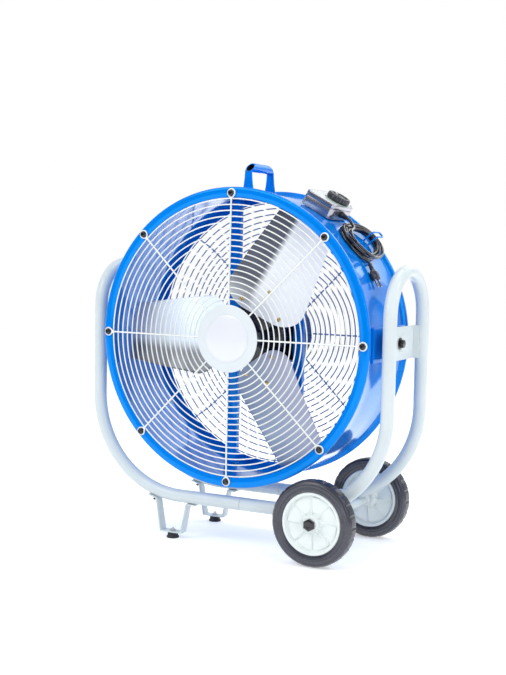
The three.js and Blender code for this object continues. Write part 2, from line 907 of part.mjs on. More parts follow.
// One guard seen along its outward direction: y is the height of the wire above the flange.
function guardHeight(radius, profile) {
  for (let i = 1; i < profile.length; i += 1) {
    const [outerR, outerY] = profile[i - 1];
    const [innerR, innerY] = profile[i];
    if (radius >= innerR) {
      const t = Math.min(1, (outerR - radius) / (outerR - innerR));
      return outerY + Math.max(0, t) * (innerY - outerY);
    }
  }
  return profile[profile.length - 1][1];
}

function ringSegments(radius, profile) {
  return radius > fineRingRadius && profile === frontProfile ? 24 : 16;
}

// Three-sided wire ring let into the spokes, so that each crossing is one weld.
function wireRing(radius, profile) {
  const height = guardHeight(radius, profile);
  const section = [
    [radius - ringWireRadius, height - ringWireRadius],
    [radius + ringWireRadius, height - ringWireRadius],
    [radius, height + ringWireRadius],
  ];
  return turned(section, ringSegments(radius, profile));
}

function spoke(angle, profile, outer) {
  const inner = profile[profile.length - 1][0];
  const radii = [outer, ...profile.slice(0, -1).map(([radius]) => radius), inner];
  const rings = radii.map((radius) => {
    const height = guardHeight(radius, profile);
    return [[-1, -1], [1, -1], [1, 1], [-1, 1]].map(([across, up]) => {
      const point = new THREE.Vector3(across * spokeRadius, height + up * spokeRadius, radius);
      return point.applyAxisAngle(yAxis, angle);
    });
  });
  return loft(rings);
}

function eyelet(angle, profile) {
  const height = profile[0][1];
  const ring = turned([
    [eyeletRadius - spokeRadius, height - spokeRadius],
    [eyeletRadius + spokeRadius, height - spokeRadius],
    [eyeletRadius, height + spokeRadius - 0.5],
  ], 8);
  return ring.translate(guardBoltCircle * Math.sin(angle), 0, guardBoltCircle * Math.cos(angle));
}

function guardRadii(count, pitch) {
  return Array.from({ length: count }, (_, i) => flangeInnerRadius - 1 - i * pitch);
}

// Front guard: each spoke ends in a loop around its bolt.
function frontGuard() {
  const rings = guardRadii(guardRings, ringPitch).map((radius) => wireRing(radius, frontProfile));
  const reach = guardBoltCircle - eyeletRadius + spokeRadius;
  const spokes = boltDirections().map((angle) => spoke(angle, frontProfile, reach));
  const eyelets = boltDirections().map((angle) => eyelet(angle, frontProfile));
  return join([...rings, ...spokes, ...eyelets]);
}

// Rear guard: its spokes lie over the flange.
function rearGuard() {
  const rings = guardRadii(rearRings, rearRingPitch).map((radius) => wireRing(radius, rearProfile));
  const spokes = boltDirections().map((angle) => spoke(angle, rearProfile, guardBoltCircle));
  return join([...rings, ...spokes]);
}

const wireSeat = spokeRadius + seatGap;
const frontProfile = [
  [flangeInnerRadius, wireSeat],
  [discRadius - spokeUnderDisc, wireSeat + frontGuardRise],
];
const rearProfile = [
  [flangeInnerRadius, wireSeat],
  [rearGuardKneeRadius, wireSeat + rearGuardKneeRise],
  [discRadius - spokeUnderDisc, wireSeat + rearGuardRise],
];

// Turns a guard part that rises along +Y to face the front of the drum.
function faceFront(geometry) {
  return geometry.rotateZ(Math.PI).translate(0, drumFront, 0);
}

function discHeight(profile) {
  return profile[profile.length - 1][1] + spokeRadius + seatGap;
}

function centreDisc(profile) {
  const back = discHeight(profile);
  const face = back + discThickness;
  return turned([
    [0, back],
    [discRadius, back],
    [discRadius - 2, face],
    [0, face],
  ], 24);
}

function badge(profile) {
  const back = discHeight(profile) + discThickness + seatGap;
  return turned([
    [0, back],
    [badgeRadius, back],
    [badgeRadius, back + 0.8],
    [badgeRadius - 6, back + badgeHeight - 1],
    [0, back + badgeHeight],
  ], 24);
}

function guardBolt() {
  const seat = 2 * spokeRadius + 2 * seatGap;
  return turned([
    [0, -guardBoltLength + seat],
    [guardBoltRadius, -guardBoltLength + seat],
    [guardBoltRadius, seat],
    [guardBoltHeadRadius, seat],
    [guardBoltHeadRadius - 2.5, seat + guardBoltHeadHeight - 1],
    [0, seat + guardBoltHeadHeight],
  ], 6);
}

function buildGuards() {
  addMesh(drum, 'front_guard', faceFront(frontGuard()), 'guardPaint');
  addMesh(drum, 'guard_centre_disc', faceFront(centreDisc(frontProfile)), 'discPlastic');
  addMesh(drum, 'centre_badge', faceFront(badge(frontProfile)), 'badgePlastic');
  boltDirections().forEach((angle, i) => {
    const bolt = addMesh(drum, `guard_bolt_${i + 1}`, faceFront(guardBolt()), 'blackSteel');
    bolt.position.set(guardBoltCircle * Math.sin(angle), 0, guardBoltCircle * Math.cos(angle));
  });
  addMesh(drum, 'rear_guard', rearGuard().translate(0, drumRear, 0), 'guardPaint');
  addMesh(drum, 'rear_guard_disc', centreDisc(rearProfile).translate(0, drumRear, 0), 'guardPaint');
}

// ---- motor ----

const barRear = barFront + barDepth;
const motorRear = barRear - seatGap;

// Upright bar whose ends follow the drum wall.
function motorBar(side) {
  const wall = (drumRadius - drumSheet) * Math.cos(Math.PI / drumSides) - seatGap;
  const steps = 2;
  const arc = Array.from({ length: steps + 1 }, (_, i) => {
    const x = barOffset + barWidth * (i / steps - 0.5);
    return [x, Math.sqrt(wall * wall - x * x)];
  });
  const outline = [...arc, ...arc.map(([x, z]) => [x, -z]).reverse()];
  return plateAlongY(outline.map(([x, z]) => [side * x, z]), barFront, barRear);
}

function finnedOutline() {
  const step = (2 * Math.PI) / motorFins;
  const root = motorRadius - motorFinDepth;
  return Array.from({ length: motorFins }, (_, i) => [
    [root, i * step], [motorRadius, (i + 0.25) * step],
    [motorRadius, (i + 0.5) * step], [root, (i + 0.75) * step],
  ]).flat().map(([radius, angle]) => [radius * Math.cos(angle), radius * Math.sin(angle)]);
}

const motorSides = 20;
const motorBore = runningBore(shaftRadius, motorSides);

function motorHousing() {
  const body = plateAlongY(finnedOutline(), motorFront, motorRear);
  const bell = turned([
    [0, motorBellFront],
    [motorBellRadius, motorBellFront],
    [motorBellRadius + 4, motorBellFront + 8],
    [motorRadius - motorFinDepth - 2, motorFront],
    [motorRadius - motorFinDepth - 2, motorFront + 4],
    [0, motorFront + 4],
  ], motorSides);
  const cowl = turned([
    [0, motorRear - 4],
    [cowlRadius, motorRear - 4],
    [cowlRadius, cowlRear - 8],
    [cowlRadius - 10, cowlRear],
    [0, cowlRear],
  ], motorSides);
  const bore = rod(motorBore, motorBellFront - 2, shaftRear + 2, motorSides);
  return cut(join([body, bell, cowl]), [bore]);
}

function motorPlate() {
  const halfWidth = barOffset + barWidth / 2;
  const outline = [
    [-halfWidth, -plateHalfHeight],
    [halfWidth, -plateHalfHeight],
    [halfWidth, plateHalfHeight],
    [-halfWidth, plateHalfHeight],
  ];
  const hole = circlePoints(cowlRadius + seatGap, motorSides);
  const from = barRear + seatGap;
  return plateAlongY(outline, from, from + plateThickness, [hole]);
}

function buildMotor() {
  addMesh(drum, 'motor_bar_left', motorBar(-1), 'bluePaint');
  addMesh(drum, 'motor_bar_right', motorBar(1), 'bluePaint');
  const housing = motorHousing().rotateY(Math.PI / motorSides);
  addMesh(drum, 'motor_housing', housing, 'blackPaint');
  addMesh(drum, 'motor_plate', motorPlate(), 'blackPaint');
}

// ---- rotor ----

function motorShaft() {
  const nutFront = hubFront - seatGap - shaftNutLength;
  return turned([
    [0, nutFront],
    [shaftNutRadius - 2, nutFront],
    [shaftNutRadius, nutFront + 2],
    [shaftNutRadius, hubFront - seatGap],
    [shaftRadius, hubFront - seatGap],
    [shaftRadius, shaftRear],
    [0, shaftRear],
  ], motorSides);
}

// Blade surface: u runs outwards, v across; the leading side (positive v) lies nearer the front.
// It is flat as far as the spider arm reaches, then untwists and curls towards the tip.
function bladeHalfWidth(u) {
  if (u < bladeShoulder) {
    const t = (bladeShoulder - u) / (bladeShoulder - bladeRoot);
    const swell = Math.sqrt(Math.max(0, 1 - t * t));
    return bladeRootHalfWidth + (bladeShoulderHalfWidth - bladeRootHalfWidth) * swell;
  }
  const t = (u - bladeShoulder) / (bladeTipRadius - bladeShoulder);
  return bladeShoulderHalfWidth + (bladeTipHalfWidth - bladeShoulderHalfWidth) * t;
}

function bladeSurface(u, v) {
  const t = Math.max(0, (u - armTip) / (bladeTipRadius - armTip));
  const slope = bladeRootSlope + (bladeTipSlope - bladeRootSlope) * t;
  const edge = Math.max(0, v / bladeShoulderHalfWidth);
  return bladeMiddle - slope * v - bladeCamber * smooth(3 * t) * edge * edge;
}

function onDisc(u, v, y, angle) {
  const [c, s] = [Math.cos(angle), Math.sin(angle)];
  return new THREE.Vector3(u * c - v * s, y, u * s + v * c);
}

// Sheet between two offsets from the blade surface, over rows of [u, halfWidth, bulge].
function bladeSheet(rows, columns, from, to, angle) {
  const rings = rows.map(([u, halfWidth, bulge]) => {
    const edge = (offset, list) => list.map((column) => {
      const v = column * halfWidth;
      const reach = u + bulge(v);
      return onDisc(reach, v, bladeSurface(reach, v) + offset, angle);
    });
    return [...edge(from, columns), ...edge(to, [...columns].reverse())];
  });
  return loftSheet(rings);
}

// The ring of a sheet is long and bent, so its flat ends are closed as strips.
function loftSheet(rings) {
  const geometry = loft(rings);
  const size = rings[0].length;
  const half = size / 2;
  const sides = (rings.length - 1) * size * 6;
  const index = Array.from(geometry.getIndex().array).slice(0, sides);
  const last = (rings.length - 1) * size;
  for (let j = 0; j < half - 1; j += 1) {
    const [a, b, c, d] = [j, j + 1, size - 2 - j, size - 1 - j];
    index.push(a, c, b, a, d, c);
    index.push(last + a, last + b, last + c, last + a, last + c, last + d);
  }
  geometry.setIndex(index);
  return geometry;
}

const bladeColumns = [-1, -0.5, 0, 0.3, 0.6, 0.82, 1];

function bladeGeometry(angle) {
  const flat = () => 0;
  const tipU = Math.sqrt(bladeTipRadius ** 2 - bladeTipHalfWidth ** 2);
  const tipBulge = (v) => Math.sqrt(bladeTipRadius ** 2 - v * v) - tipU;
  const rootSpan = bladeShoulder - bladeRoot;
  const rootRows = [0, 0.08, 0.3, 0.65, 1].map((t) => bladeRoot + rootSpan * t);
  const outerRows = [0, 0.33, 0.67].map((t) => armTip + (tipU - armTip) * t);
  const rows = [...rootRows, ...outerRows].map((u) => [u, bladeHalfWidth(u), flat]);
  rows.push([tipU, bladeTipHalfWidth, tipBulge]);
  return bladeSheet(rows, bladeColumns, -bladeThickness / 2, bladeThickness / 2, angle);
}

// Spider arm: a plate pressed to the same twist, lying close behind the root of its blade.
function armGeometry(angle) {
  const behind = bladeThickness / 2 + seatGap;
  const rows = [
    [armInner, armInner, () => 0],
    [armShoulder, armShoulderHalfWidth, () => 0],
    [armTip, armTipHalfWidth, () => 0],
  ];
  return bladeSheet(rows, [-1, -0.4, 0, 0.5, 1], behind, behind + armThickness, angle);
}

function bladeAngles() {
  return Array.from({ length: bladeCount }, (_, i) => radians(bladeFirstAngle + (i * 360) / bladeCount));
}

function hubSpider() {
  const arms = bladeAngles().map(armGeometry);
  const bore = rod(shaftRadius + seatGap, hubFront - 4, hubRear + 4, motorSides);
  return cut(join([rod(hubRadius, hubFront, hubRear, motorSides), ...arms]), [bore]);
}

function buildRotor() {
  addMesh(drum, 'motor_shaft', motorShaft(), 'steel');
  addMesh(drum, 'hub_spider', hubSpider(), 'blackPaint');
  bladeAngles().forEach((angle, i) => {
    addMesh(drum, `blade_${i + 1}`, bladeGeometry(angle), 'bladeAluminium');
  });
}

// ---- control box ----

// Frame on the drum surface: x across (downhill), y along the drum, z outwards.
function drumFrame(angle) {
  const place = new THREE.Group();
  place.rotation.y = radians(angle);
  drum.add(place);
  return place;
}

function boxPlan() {
  const left = boxCentreAcross - boxWidth / 2;
  const right = boxCentreAcross + boxWidth / 2;
  return [
    [left + boxCorner, boxFront],
    [right - boxCorner, boxFront],
    [right, boxFront + boxCorner],
    [right, boxRear - boxCorner],
    [right - boxCorner, boxRear],
    [left + boxCorner, boxRear],
    [left, boxRear - boxCorner],
    [left, boxFront + boxCorner],
  ];
}

function standing(geometry) {
  return geometry.rotateX(Math.PI / 2).translate(knobAcross, knobAlong, 0);
}

const knobSides = 20;
const stemBore = runningBore(knobStemRadius, knobSides);

function controlLid() {
  const lid = plateAlongZ(boxPlan(), boxSeam + seatGap, boxTop);
  return cut(lid, [standing(rod(stemBore, boxTop - knobStemDepth - 3, boxTop + 4, knobSides))]);
}

function speedKnob() {
  const base = boxTop + dialThickness + 2 * seatGap;
  const top = base + knobHeight;
  return standing(turned([
    [0, boxTop - knobStemDepth],
    [knobStemRadius, boxTop - knobStemDepth],
    [knobStemRadius, base],
    [knobRadius - 7, base],
    [knobRadius, base + knobHeight * 0.55],
    [knobRadius - 2, top - 2],
    [knobRadius - 8, top],
    [0, top - 1.5],
  ], knobSides));
}

const boxSide = boxCentreAcross + boxWidth / 2;

function cordGland() {
  const start = boxSide + seatGap;
  const gland = turned([
    [0, start],
    [glandRadius, start],
    [glandRadius, start + glandLength * 0.35],
    [glandRadius - 2, start + glandLength * 0.4],
    [cordDiameter / 2 + 1.5, start + glandLength],
    [0, start + glandLength],
  ], 12);
  return pointSideways(gland, 1).translate(0, glandAlong, glandOut);
}

function buildControls() {
  const place = drumFrame(boxAngle);
  const base = plateAlongZ(boxPlan(), drumRadius + seatGap / 2, boxSeam);
  addMesh(place, 'control_base', base, 'greyPlastic');
  addMesh(place, 'control_lid', controlLid(), 'greyPlastic');
  const dialFloor = boxTop + seatGap;
  const dial = sleeve(dialRadius, stemBore, dialFloor, dialFloor + dialThickness, knobSides);
  addMesh(place, 'dial_plate', standing(dial), 'dialPlastic');
  addMesh(place, 'speed_knob', speedKnob(), 'blackPaint');
  addMesh(place, 'cord_gland', cordGland(), 'blackPaint');
}

// ---- cord ----

// Point on the drum from a distance across (downhill from the hank's middle), along and out.
function onDrum(across, along, radius) {
  const angle = radians(hankAngle) + across / drumRadius;
  return new THREE.Vector3(radius * Math.sin(angle), along, radius * Math.cos(angle));
}

function inFrame(angle, across, along, out) {
  return new THREE.Vector3(across, along, out).applyAxisAngle(yAxis, radians(angle));
}

const cordRadius = cordDiameter / 2;
const lowerLayer = drumRadius + hankFloor + cordRadius;
const reversal = (hankTurns + 0.5) / 2;

// How far the turn lies inside the outermost one, and which layer it is on, after some turns.
function hankTurn(turns) {
  if (turns < 0.5) {
    const roll = (Math.PI / 2) * (1 - smooth(2 * turns));
    const inset = hankPitch * (turns + 0.5 - Math.cos(roll));
    return { inset, layer: 1 + Math.sin(roll) };
  }
  const inset = hankPitch * (Math.min(turns, 2 * reversal - turns) - 0.5);
  return { inset, layer: 1 - smooth((turns - reversal) / 0.5 + 0.5) };
}

function hankPoint(turns) {
  const { inset, layer } = hankTurn(turns);
  const angle = radians(hankStartAngle) + 2 * Math.PI * turns;
  const across = (hankHalfAcross - inset) * Math.cos(angle);
  const along = hankAlong + (hankHalfAlong - inset) * Math.sin(angle);
  const lift = hankLift * smooth((along - hankAlong) / hankHalfAlong);
  return onDrum(across, along, lowerLayer + layer * hankPitch + lift);
}

// Spots on the way in and out: shares of the hank's half width and length, rise in diameters.
const leadSpots = [
  [-0.7778, -0.0556, 0.214], [-0.5926, -0.1667, 0.114], [-0.4815, -0.3333, 0.071],
  [-0.4259, -0.5139, 0.057], [-0.3148, -0.6944, 0.029], [-0.1111, -0.8472, 0],
];
const tailSpots = [
  [0.5556, -0.8542, 0], [0.7593, -0.7361, 0.086], [0.9444, -0.6181, 0.43],
];

function besideHank([across, along, rise], radius) {
  const [x, y] = [across * hankHalfAcross, hankAlong + along * hankHalfAlong];
  return onDrum(x, y, radius + rise * cordDiameter);
}

// Rests the cord on the drum between the gland and the hank, then from the hank to the plug.
function cordRoute() {
  const glandTip = boxSide + glandLength + 2 * seatGap;
  const start = inFrame(boxAngle, glandTip, glandAlong, glandOut);
  const straight = inFrame(boxAngle, glandTip + cordDiameter, glandAlong, glandOut);
  const top = lowerLayer + 2 * hankPitch;
  const lead = [start, straight, ...leadSpots.map((spot) => besideHank(spot, top))];
  const steps = Math.round(hankTurns * hankStepsPerTurn);
  const turns = Array.from({ length: steps + 1 }, (_, i) => hankPoint((i / steps) * hankTurns));
  const plugTip = -plugLength / 2 - seatGap;
  const end = inFrame(plugAngle, plugTip, plugAlong, plugCentre);
  const before = inFrame(plugAngle, plugTip - cordDiameter, plugAlong, plugCentre);
  const tail = [...tailSpots.map((spot) => besideHank(spot, lowerLayer)), before, end];
  return { lead, turns, tail };
}

const plugCentre = drumRadius + seatGap + plugHalfThickness;

// Even steps along a smooth curve through the hand-placed points, both ends kept straight.
function smoothRun(points, steps) {
  const curve = new THREE.CatmullRomCurve3(points, false, 'centripetal');
  return curve.getSpacedPoints(steps);
}

function cordPoints() {
  const { lead, turns, tail } = cordRoute();
  const leadIn = smoothRun([...lead.slice(1), turns[0], turns[1]], 10).slice(0, -1);
  const tailOut = smoothRun([turns[turns.length - 1], ...tail.slice(0, -1)], 7).slice(1);
  return [lead[0], ...leadIn, ...turns.slice(1), ...tailOut, tail[tail.length - 1]];
}

function pathLength(points) {
  return points.slice(1).reduce((sum, point, i) => sum + point.distanceTo(points[i]), 0);
}

// Least gap between stretches of the cord that lie at least a few diameters apart along it.
function leastSelfGap(points) {
  const fine = new THREE.CatmullRomCurve3(points, false, 'centripetal').getSpacedPoints(1200);
  const apart = Math.ceil((4 * cordDiameter) / (pathLength(points) / 1200));
  let least = Infinity;
  for (let i = 0; i < fine.length; i += 1) {
    for (let j = i + apart; j < fine.length; j += 1) {
      least = Math.min(least, fine[i].distanceTo(fine[j]));
    }
  }
  return least - cordDiameter;
}

function plug() {
  const rows = [
    [-0.5, plugNeckRadius, plugNeckRadius],
    [-0.2, plugNeckRadius + 0.5, plugNeckRadius + 0.5],
    [-0.05, plugHalfWidth * 0.7, plugHalfThickness * 0.85],
    [0.35, plugHalfWidth, plugHalfThickness],
    [0.5, plugHalfWidth - 1, plugHalfThickness - 1],
  ];
  const rings = rows.map(([t, wide, thick]) => Array.from({ length: 12 }, (_, i) => {
    const angle = ((i + 0.5) / 12) * 2 * Math.PI;
    const [c, s] = [Math.cos(angle), Math.sin(angle)];
    const square = 1 / Math.max(Math.abs(c), Math.abs(s)) ** 0.5;
    return new THREE.Vector3(t * plugLength, wide * c * Math.min(square, 1.12), thick * s);
  }));
  const pins = [-1, 1].map((side) => {
    const from = plugLength / 2 - 3;
    const pin = rod(pinRadius, from, from + 3 + pinLength, 8);
    return pointSideways(pin, 1).translate(0, (side * pinSpacing) / 2, 0);
  });
  return join([loft(rings), ...pins]).translate(0, plugAlong, plugCentre);
}

// Wire hook: two legs off the drum, bent along it over the hank and closed in a U.
function cordHook() {
  const foot = drumRadius + seatGap / 2;
  const run = hookReach - hookBend - hookHalfSpacing;
  const start = new THREE.Vector3(-hookHalfSpacing, hookAlong, foot);
  const back = yAxis.clone().negate();
  const down = zAxis.clone().negate();
  const stations = tubeStations(start, zAxis, [
    { straight: hookOut - hookBend - foot },
    { bend: hookBend, to: yAxis },
    { straight: run },
    { bend: hookHalfSpacing, to: xAxis },
    { bend: hookHalfSpacing, to: back },
    { straight: run },
    { bend: hookBend, to: down },
    { straight: hookOut - hookBend - foot },
  ], 30);
  return solidTube(stations, hookWireRadius, 8);
}

function buildCord() {
  const points = cordPoints();
  const metres = (pathLength(points) / 1000).toFixed(3);
  console.log(`cord: ${metres} m, least gap to itself ${leastSelfGap(points).toFixed(2)} mm`);
  addMesh(drum, 'power_cord', solidTube(stationsThrough(points), cordRadius, cordSides), 'cordRubber');
  addMesh(drumFrame(plugAngle), 'power_plug', plug(), 'blackPaint');
  addMesh(drumFrame(hankAngle), 'cord_hook', cordHook(), 'bluePaint');
}

buildCradle();
buildWheels();
buildFeet();
buildPivots();
buildDrum();
buildGuards();
buildMotor();
buildRotor();
buildControls();
buildCord();

export default model;
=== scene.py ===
from math import atan2, cos, degrees, hypot, pi, radians, sin, sqrt

import bmesh
import bpy
from mathutils import Matrix, Vector


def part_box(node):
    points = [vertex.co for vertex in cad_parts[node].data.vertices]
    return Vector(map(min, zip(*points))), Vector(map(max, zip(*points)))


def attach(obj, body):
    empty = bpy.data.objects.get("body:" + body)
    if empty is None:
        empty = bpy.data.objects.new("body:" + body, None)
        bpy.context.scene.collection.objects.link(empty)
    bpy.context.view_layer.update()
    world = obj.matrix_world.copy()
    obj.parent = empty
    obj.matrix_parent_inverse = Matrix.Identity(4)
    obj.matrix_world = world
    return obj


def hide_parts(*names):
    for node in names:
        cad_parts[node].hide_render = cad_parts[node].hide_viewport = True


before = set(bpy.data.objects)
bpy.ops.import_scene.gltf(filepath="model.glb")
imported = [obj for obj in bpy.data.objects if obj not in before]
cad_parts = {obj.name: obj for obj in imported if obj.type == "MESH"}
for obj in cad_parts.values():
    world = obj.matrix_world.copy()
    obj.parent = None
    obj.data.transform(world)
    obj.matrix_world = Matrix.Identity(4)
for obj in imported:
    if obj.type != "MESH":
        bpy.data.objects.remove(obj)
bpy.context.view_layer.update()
mm = 0.001  # pieces are given in mm; the camera, the lamps and the cord's route are in metres
pivotHeight = 505  # height of the fan's axis and of the tilt axis
fanMiddle = (0, 0, pivotHeight)
faceForward = (90, 0, 0)  # turns a piece drawn along Z to look out of the front of the fan
faceBackward = (-90, 0, 0)
leftRight = (("left", -1), ("right", 1))
# the body, slot and finish of most pieces of the cradle and of the drum
cradleCoat = ("frame", "frame_paint", "cradlePaint")
drumCoat = ("drum", "blue_paint", "bluePaint")

cameraView = {"place": (1.366, -2.608, 0.722), "yaw": 27.82, "pitch": 4.33, "roll": 1.17, "lens": 63.98}


def makeCamera():
    yaw, pitch, roll = (radians(cameraView[key]) for key in ("yaw", "pitch", "roll"))
    ahead = Vector((-sin(yaw) * cos(pitch), cos(yaw) * cos(pitch), -sin(pitch)))
    right = Vector((cos(yaw), sin(yaw), 0))
    up = right.cross(ahead)
    leanRight = right * cos(roll) + up * sin(roll)
    leanUp = up * cos(roll) - right * sin(roll)
    bpy.ops.object.select_all(action="DESELECT")
    bpy.ops.object.camera_add(location=cameraView["place"])
    camera = bpy.context.active_object
    turn = Matrix((leanRight, leanUp, -ahead)).transposed()
    camera.matrix_world = Matrix.Translation(cameraView["place"]) @ turn.to_4x4()
    camera.data.lens = cameraView["lens"]
    camera.data.sensor_width = 36
    bpy.context.scene.camera = camera


makeCamera()
print("camera set")

# finishes, with their nodes


def addNode(tree, kind, levels=None, **settings):
    node = tree.nodes.new(f"ShaderNode{kind}")
    for name, value in settings.items():
        setattr(node, name, value)
    for entry, level in (levels or {}).items():
        node.inputs[entry].default_value = level
    return node


def addRamp(tree, stops):
    ramp = addNode(tree, "ValToRGB")
    elements = ramp.color_ramp.elements
    while len(elements) < len(stops):
        elements.new(0.5)
    for element, (spot, colour) in zip(elements, stops):
        element.position = spot
        element.color = (*colour, 1)
    return ramp


# a link is given as a node, its output, the next node and its entry
def linkNodes(tree, *links):
    for source, output, target, entry in links:
        tree.links.new(source.outputs[output], target.inputs[entry])


def newMaterial(name):
    material = bpy.data.materials.new(name)
    material.use_nodes = True
    tree = material.node_tree
    return material, tree, tree.nodes["Principled BSDF"]


finishes = {}


def makeFinish(name, colour, shade, rough, metal=0, coat=0, specular=0.5, glint=(1, 1, 1),
               stretch=(1, 1, 1), cloudScale=9, grainScale=900, relief=0.05):
    material, tree, shader = newMaterial(name)
    levels = {"Metallic": metal, "Coat Weight": coat, "Coat Roughness": 0.06,
              "Specular IOR Level": specular, "Specular Tint": (*glint, 1)}
    for entry, level in levels.items():
        shader.inputs[entry].default_value = level
    place = addNode(tree, "TexCoord")
    spread = addNode(tree, "Mapping", {"Scale": stretch})
    # broad clouds of tone, then a fine grain for roughness and relief
    clouds = addNode(tree, "TexNoise", {"Scale": cloudScale, "Detail": 4})
    grain = addNode(tree, "TexNoise", {"Scale": grainScale, "Detail": 3})
    tone = addRamp(tree, [(0.3, shade), (0.7, colour)])
    polish = addNode(tree, "MapRange", {"To Min": rough[0], "To Max": rough[1]})
    bump = addNode(tree, "Bump", {"Strength": relief, "Distance": 0.0004})
    linkNodes(tree, (place, "Object", spread, "Vector"), (spread, "Vector", clouds, "Vector"),
              (spread, "Vector", grain, "Vector"), (clouds, "Fac", tone, "Fac"),
              (tone, "Color", shader, "Base Color"), (grain, "Fac", polish, "Value"),
              (polish, "Result", shader, "Roughness"), (grain, "Fac", bump, "Height"),
              (bump, "Normal", shader, "Normal"))
    finishes[name] = material
    return tree, shader, tone


# linear light: the colour, its darker shade, then the least and the most roughness
makeFinish("bluePaint", (0, 0.225, 0.81), (0, 0.2, 0.76), (0.07, 0.11), specular=1,
           glint=(0.06, 0.5, 1), cloudScale=5, grainScale=260, relief=0.02)
# a darker copy of the blue paint for the drum's inner wall: painted shade inside the drum
makeFinish("liningShadedPaint", (0, 0.205, 0.76), (0, 0.18, 0.7), (0.07, 0.11), coat=0.2, specular=0.9,
           glint=(0.4, 0.7, 1), cloudScale=5, grainScale=260, relief=0.02)
makeFinish("cradlePaint", (0.69, 0.75, 0.76), (0.63, 0.7, 0.71), (0.24, 0.36), coat=0.1, specular=0.35)
makeFinish("guardPaint", (0.92, 0.93, 0.88), (0.86, 0.88, 0.84), (0.25, 0.4), coat=0.2,
           grainScale=1200, relief=0.04)
# the rear guard and its disc keep the white guard paint's slot, but their navy colour is painted shade
# with the drum's blue bounce light painted in
makeFinish("rearGuardShadedPaint", (0.2, 0.31, 0.58), (0.16, 0.26, 0.5), (0.3, 0.45), grainScale=1200,
           relief=0.04)
makeFinish("discPlastic", (0.76, 0.8, 0.82), (0.7, 0.75, 0.77), (0.3, 0.42), grainScale=1500)
makeFinish("badgePlastic", (0.8, 0.81, 0.85), (0.76, 0.78, 0.83), (0.16, 0.24), coat=0.2, relief=0.01)
makeFinish("blackPaint", (0.014, 0.012, 0.026), (0.006, 0.005, 0.014), (0.16, 0.34), coat=0.3,
           specular=0.4, grainScale=600, relief=0.12)
makeFinish("boltBlack", (0.006, 0.005, 0.009), (0.003, 0.003, 0.005), (0.12, 0.22), coat=0.25,
           specular=0.4, relief=0.03)
makeFinish("steel", (0.62, 0.64, 0.66), (0.48, 0.5, 0.53), (0.22, 0.36), metal=1, relief=0.04)
makeFinish("brass", (0.62, 0.44, 0.18), (0.48, 0.32, 0.12), (0.2, 0.34), metal=1, relief=0.03)
makeFinish("pinNickel", (0.52, 0.44, 0.42), (0.42, 0.35, 0.33), (0.2, 0.3), metal=1, relief=0.03)
makeFinish("tyreRubber", (0.022, 0.024, 0.044), (0.014, 0.015, 0.029), (0.2, 0.32), specular=0.7,
           cloudScale=16, grainScale=1100, relief=0.12)
makeFinish("footRubber", (0.016, 0.016, 0.026), (0.01, 0.01, 0.018), (0.4, 0.6), grainScale=1300,
           relief=0.16)
makeFinish("rimPlastic", (0.86, 0.9, 0.88), (0.78, 0.84, 0.83), (0.28, 0.4), grainScale=1200)
makeFinish("boxMetal", (0.36, 0.36, 0.4), (0.25, 0.25, 0.29), (0.1, 0.18), metal=0.8, cloudScale=14,
           grainScale=1500, relief=0.12)
makeFinish("labelPlate", (0.76, 0.78, 0.78), (0.64, 0.67, 0.68), (0.3, 0.42), metal=0.3,
           grainScale=1800, relief=0.04)
makeFinish("dialPlastic", (0.36, 0.47, 0.41), (0.28, 0.38, 0.33), (0.35, 0.5), grainScale=1500)
makeFinish("markPaint", (0.82, 0.84, 0.84), (0.74, 0.77, 0.77), (0.4, 0.5), grainScale=1500, relief=0.02)
makeFinish("knobPlastic", (0.03, 0.032, 0.048), (0.018, 0.019, 0.03), (0.26, 0.4), grainScale=1700,
           relief=0.1)
makeFinish("cordPvc", (0.009, 0.007, 0.014), (0.005, 0.004, 0.009), (0.12, 0.2), coat=0.45, relief=0.04)
makeFinish("nylon", (0.045, 0.045, 0.055), (0.03, 0.03, 0.04), (0.4, 0.55), grainScale=1200, relief=0.06)
makeFinish("tubeShadow", (0.004, 0.008, 0.02), (0.002, 0.004, 0.012), (0.6, 0.8))

# the three blades catch the room differently, so each has its own painted light: lit and shaded copies of
# one aluminium, and strip is the colour of a painted reflection band
bladeLitTones = {
    1: {"colour": (0.98, 0.985, 0.99), "shade": (0.95, 0.965, 0.98), "strip": (0.085, 0.095, 0.125),
        "metal": 0.15, "crease": (0.60, 0.72), "fade": (0.02, 0.45)},
    2: {"colour": (0.64, 0.71, 0.79), "shade": (0.58, 0.65, 0.73), "strip": (0.20, 0.21, 0.23),
        "metal": 0.5, "crease": (0.56, 0.78), "fade": (-0.2, 0)},
    3: {"colour": (0.30, 0.37, 0.49), "shade": (0.24, 0.30, 0.41), "strip": (0.40, 0.42, 0.54),
        "metal": 0.35, "crease": (0.10, 0.95), "fade": (-0.2, 0)},
}


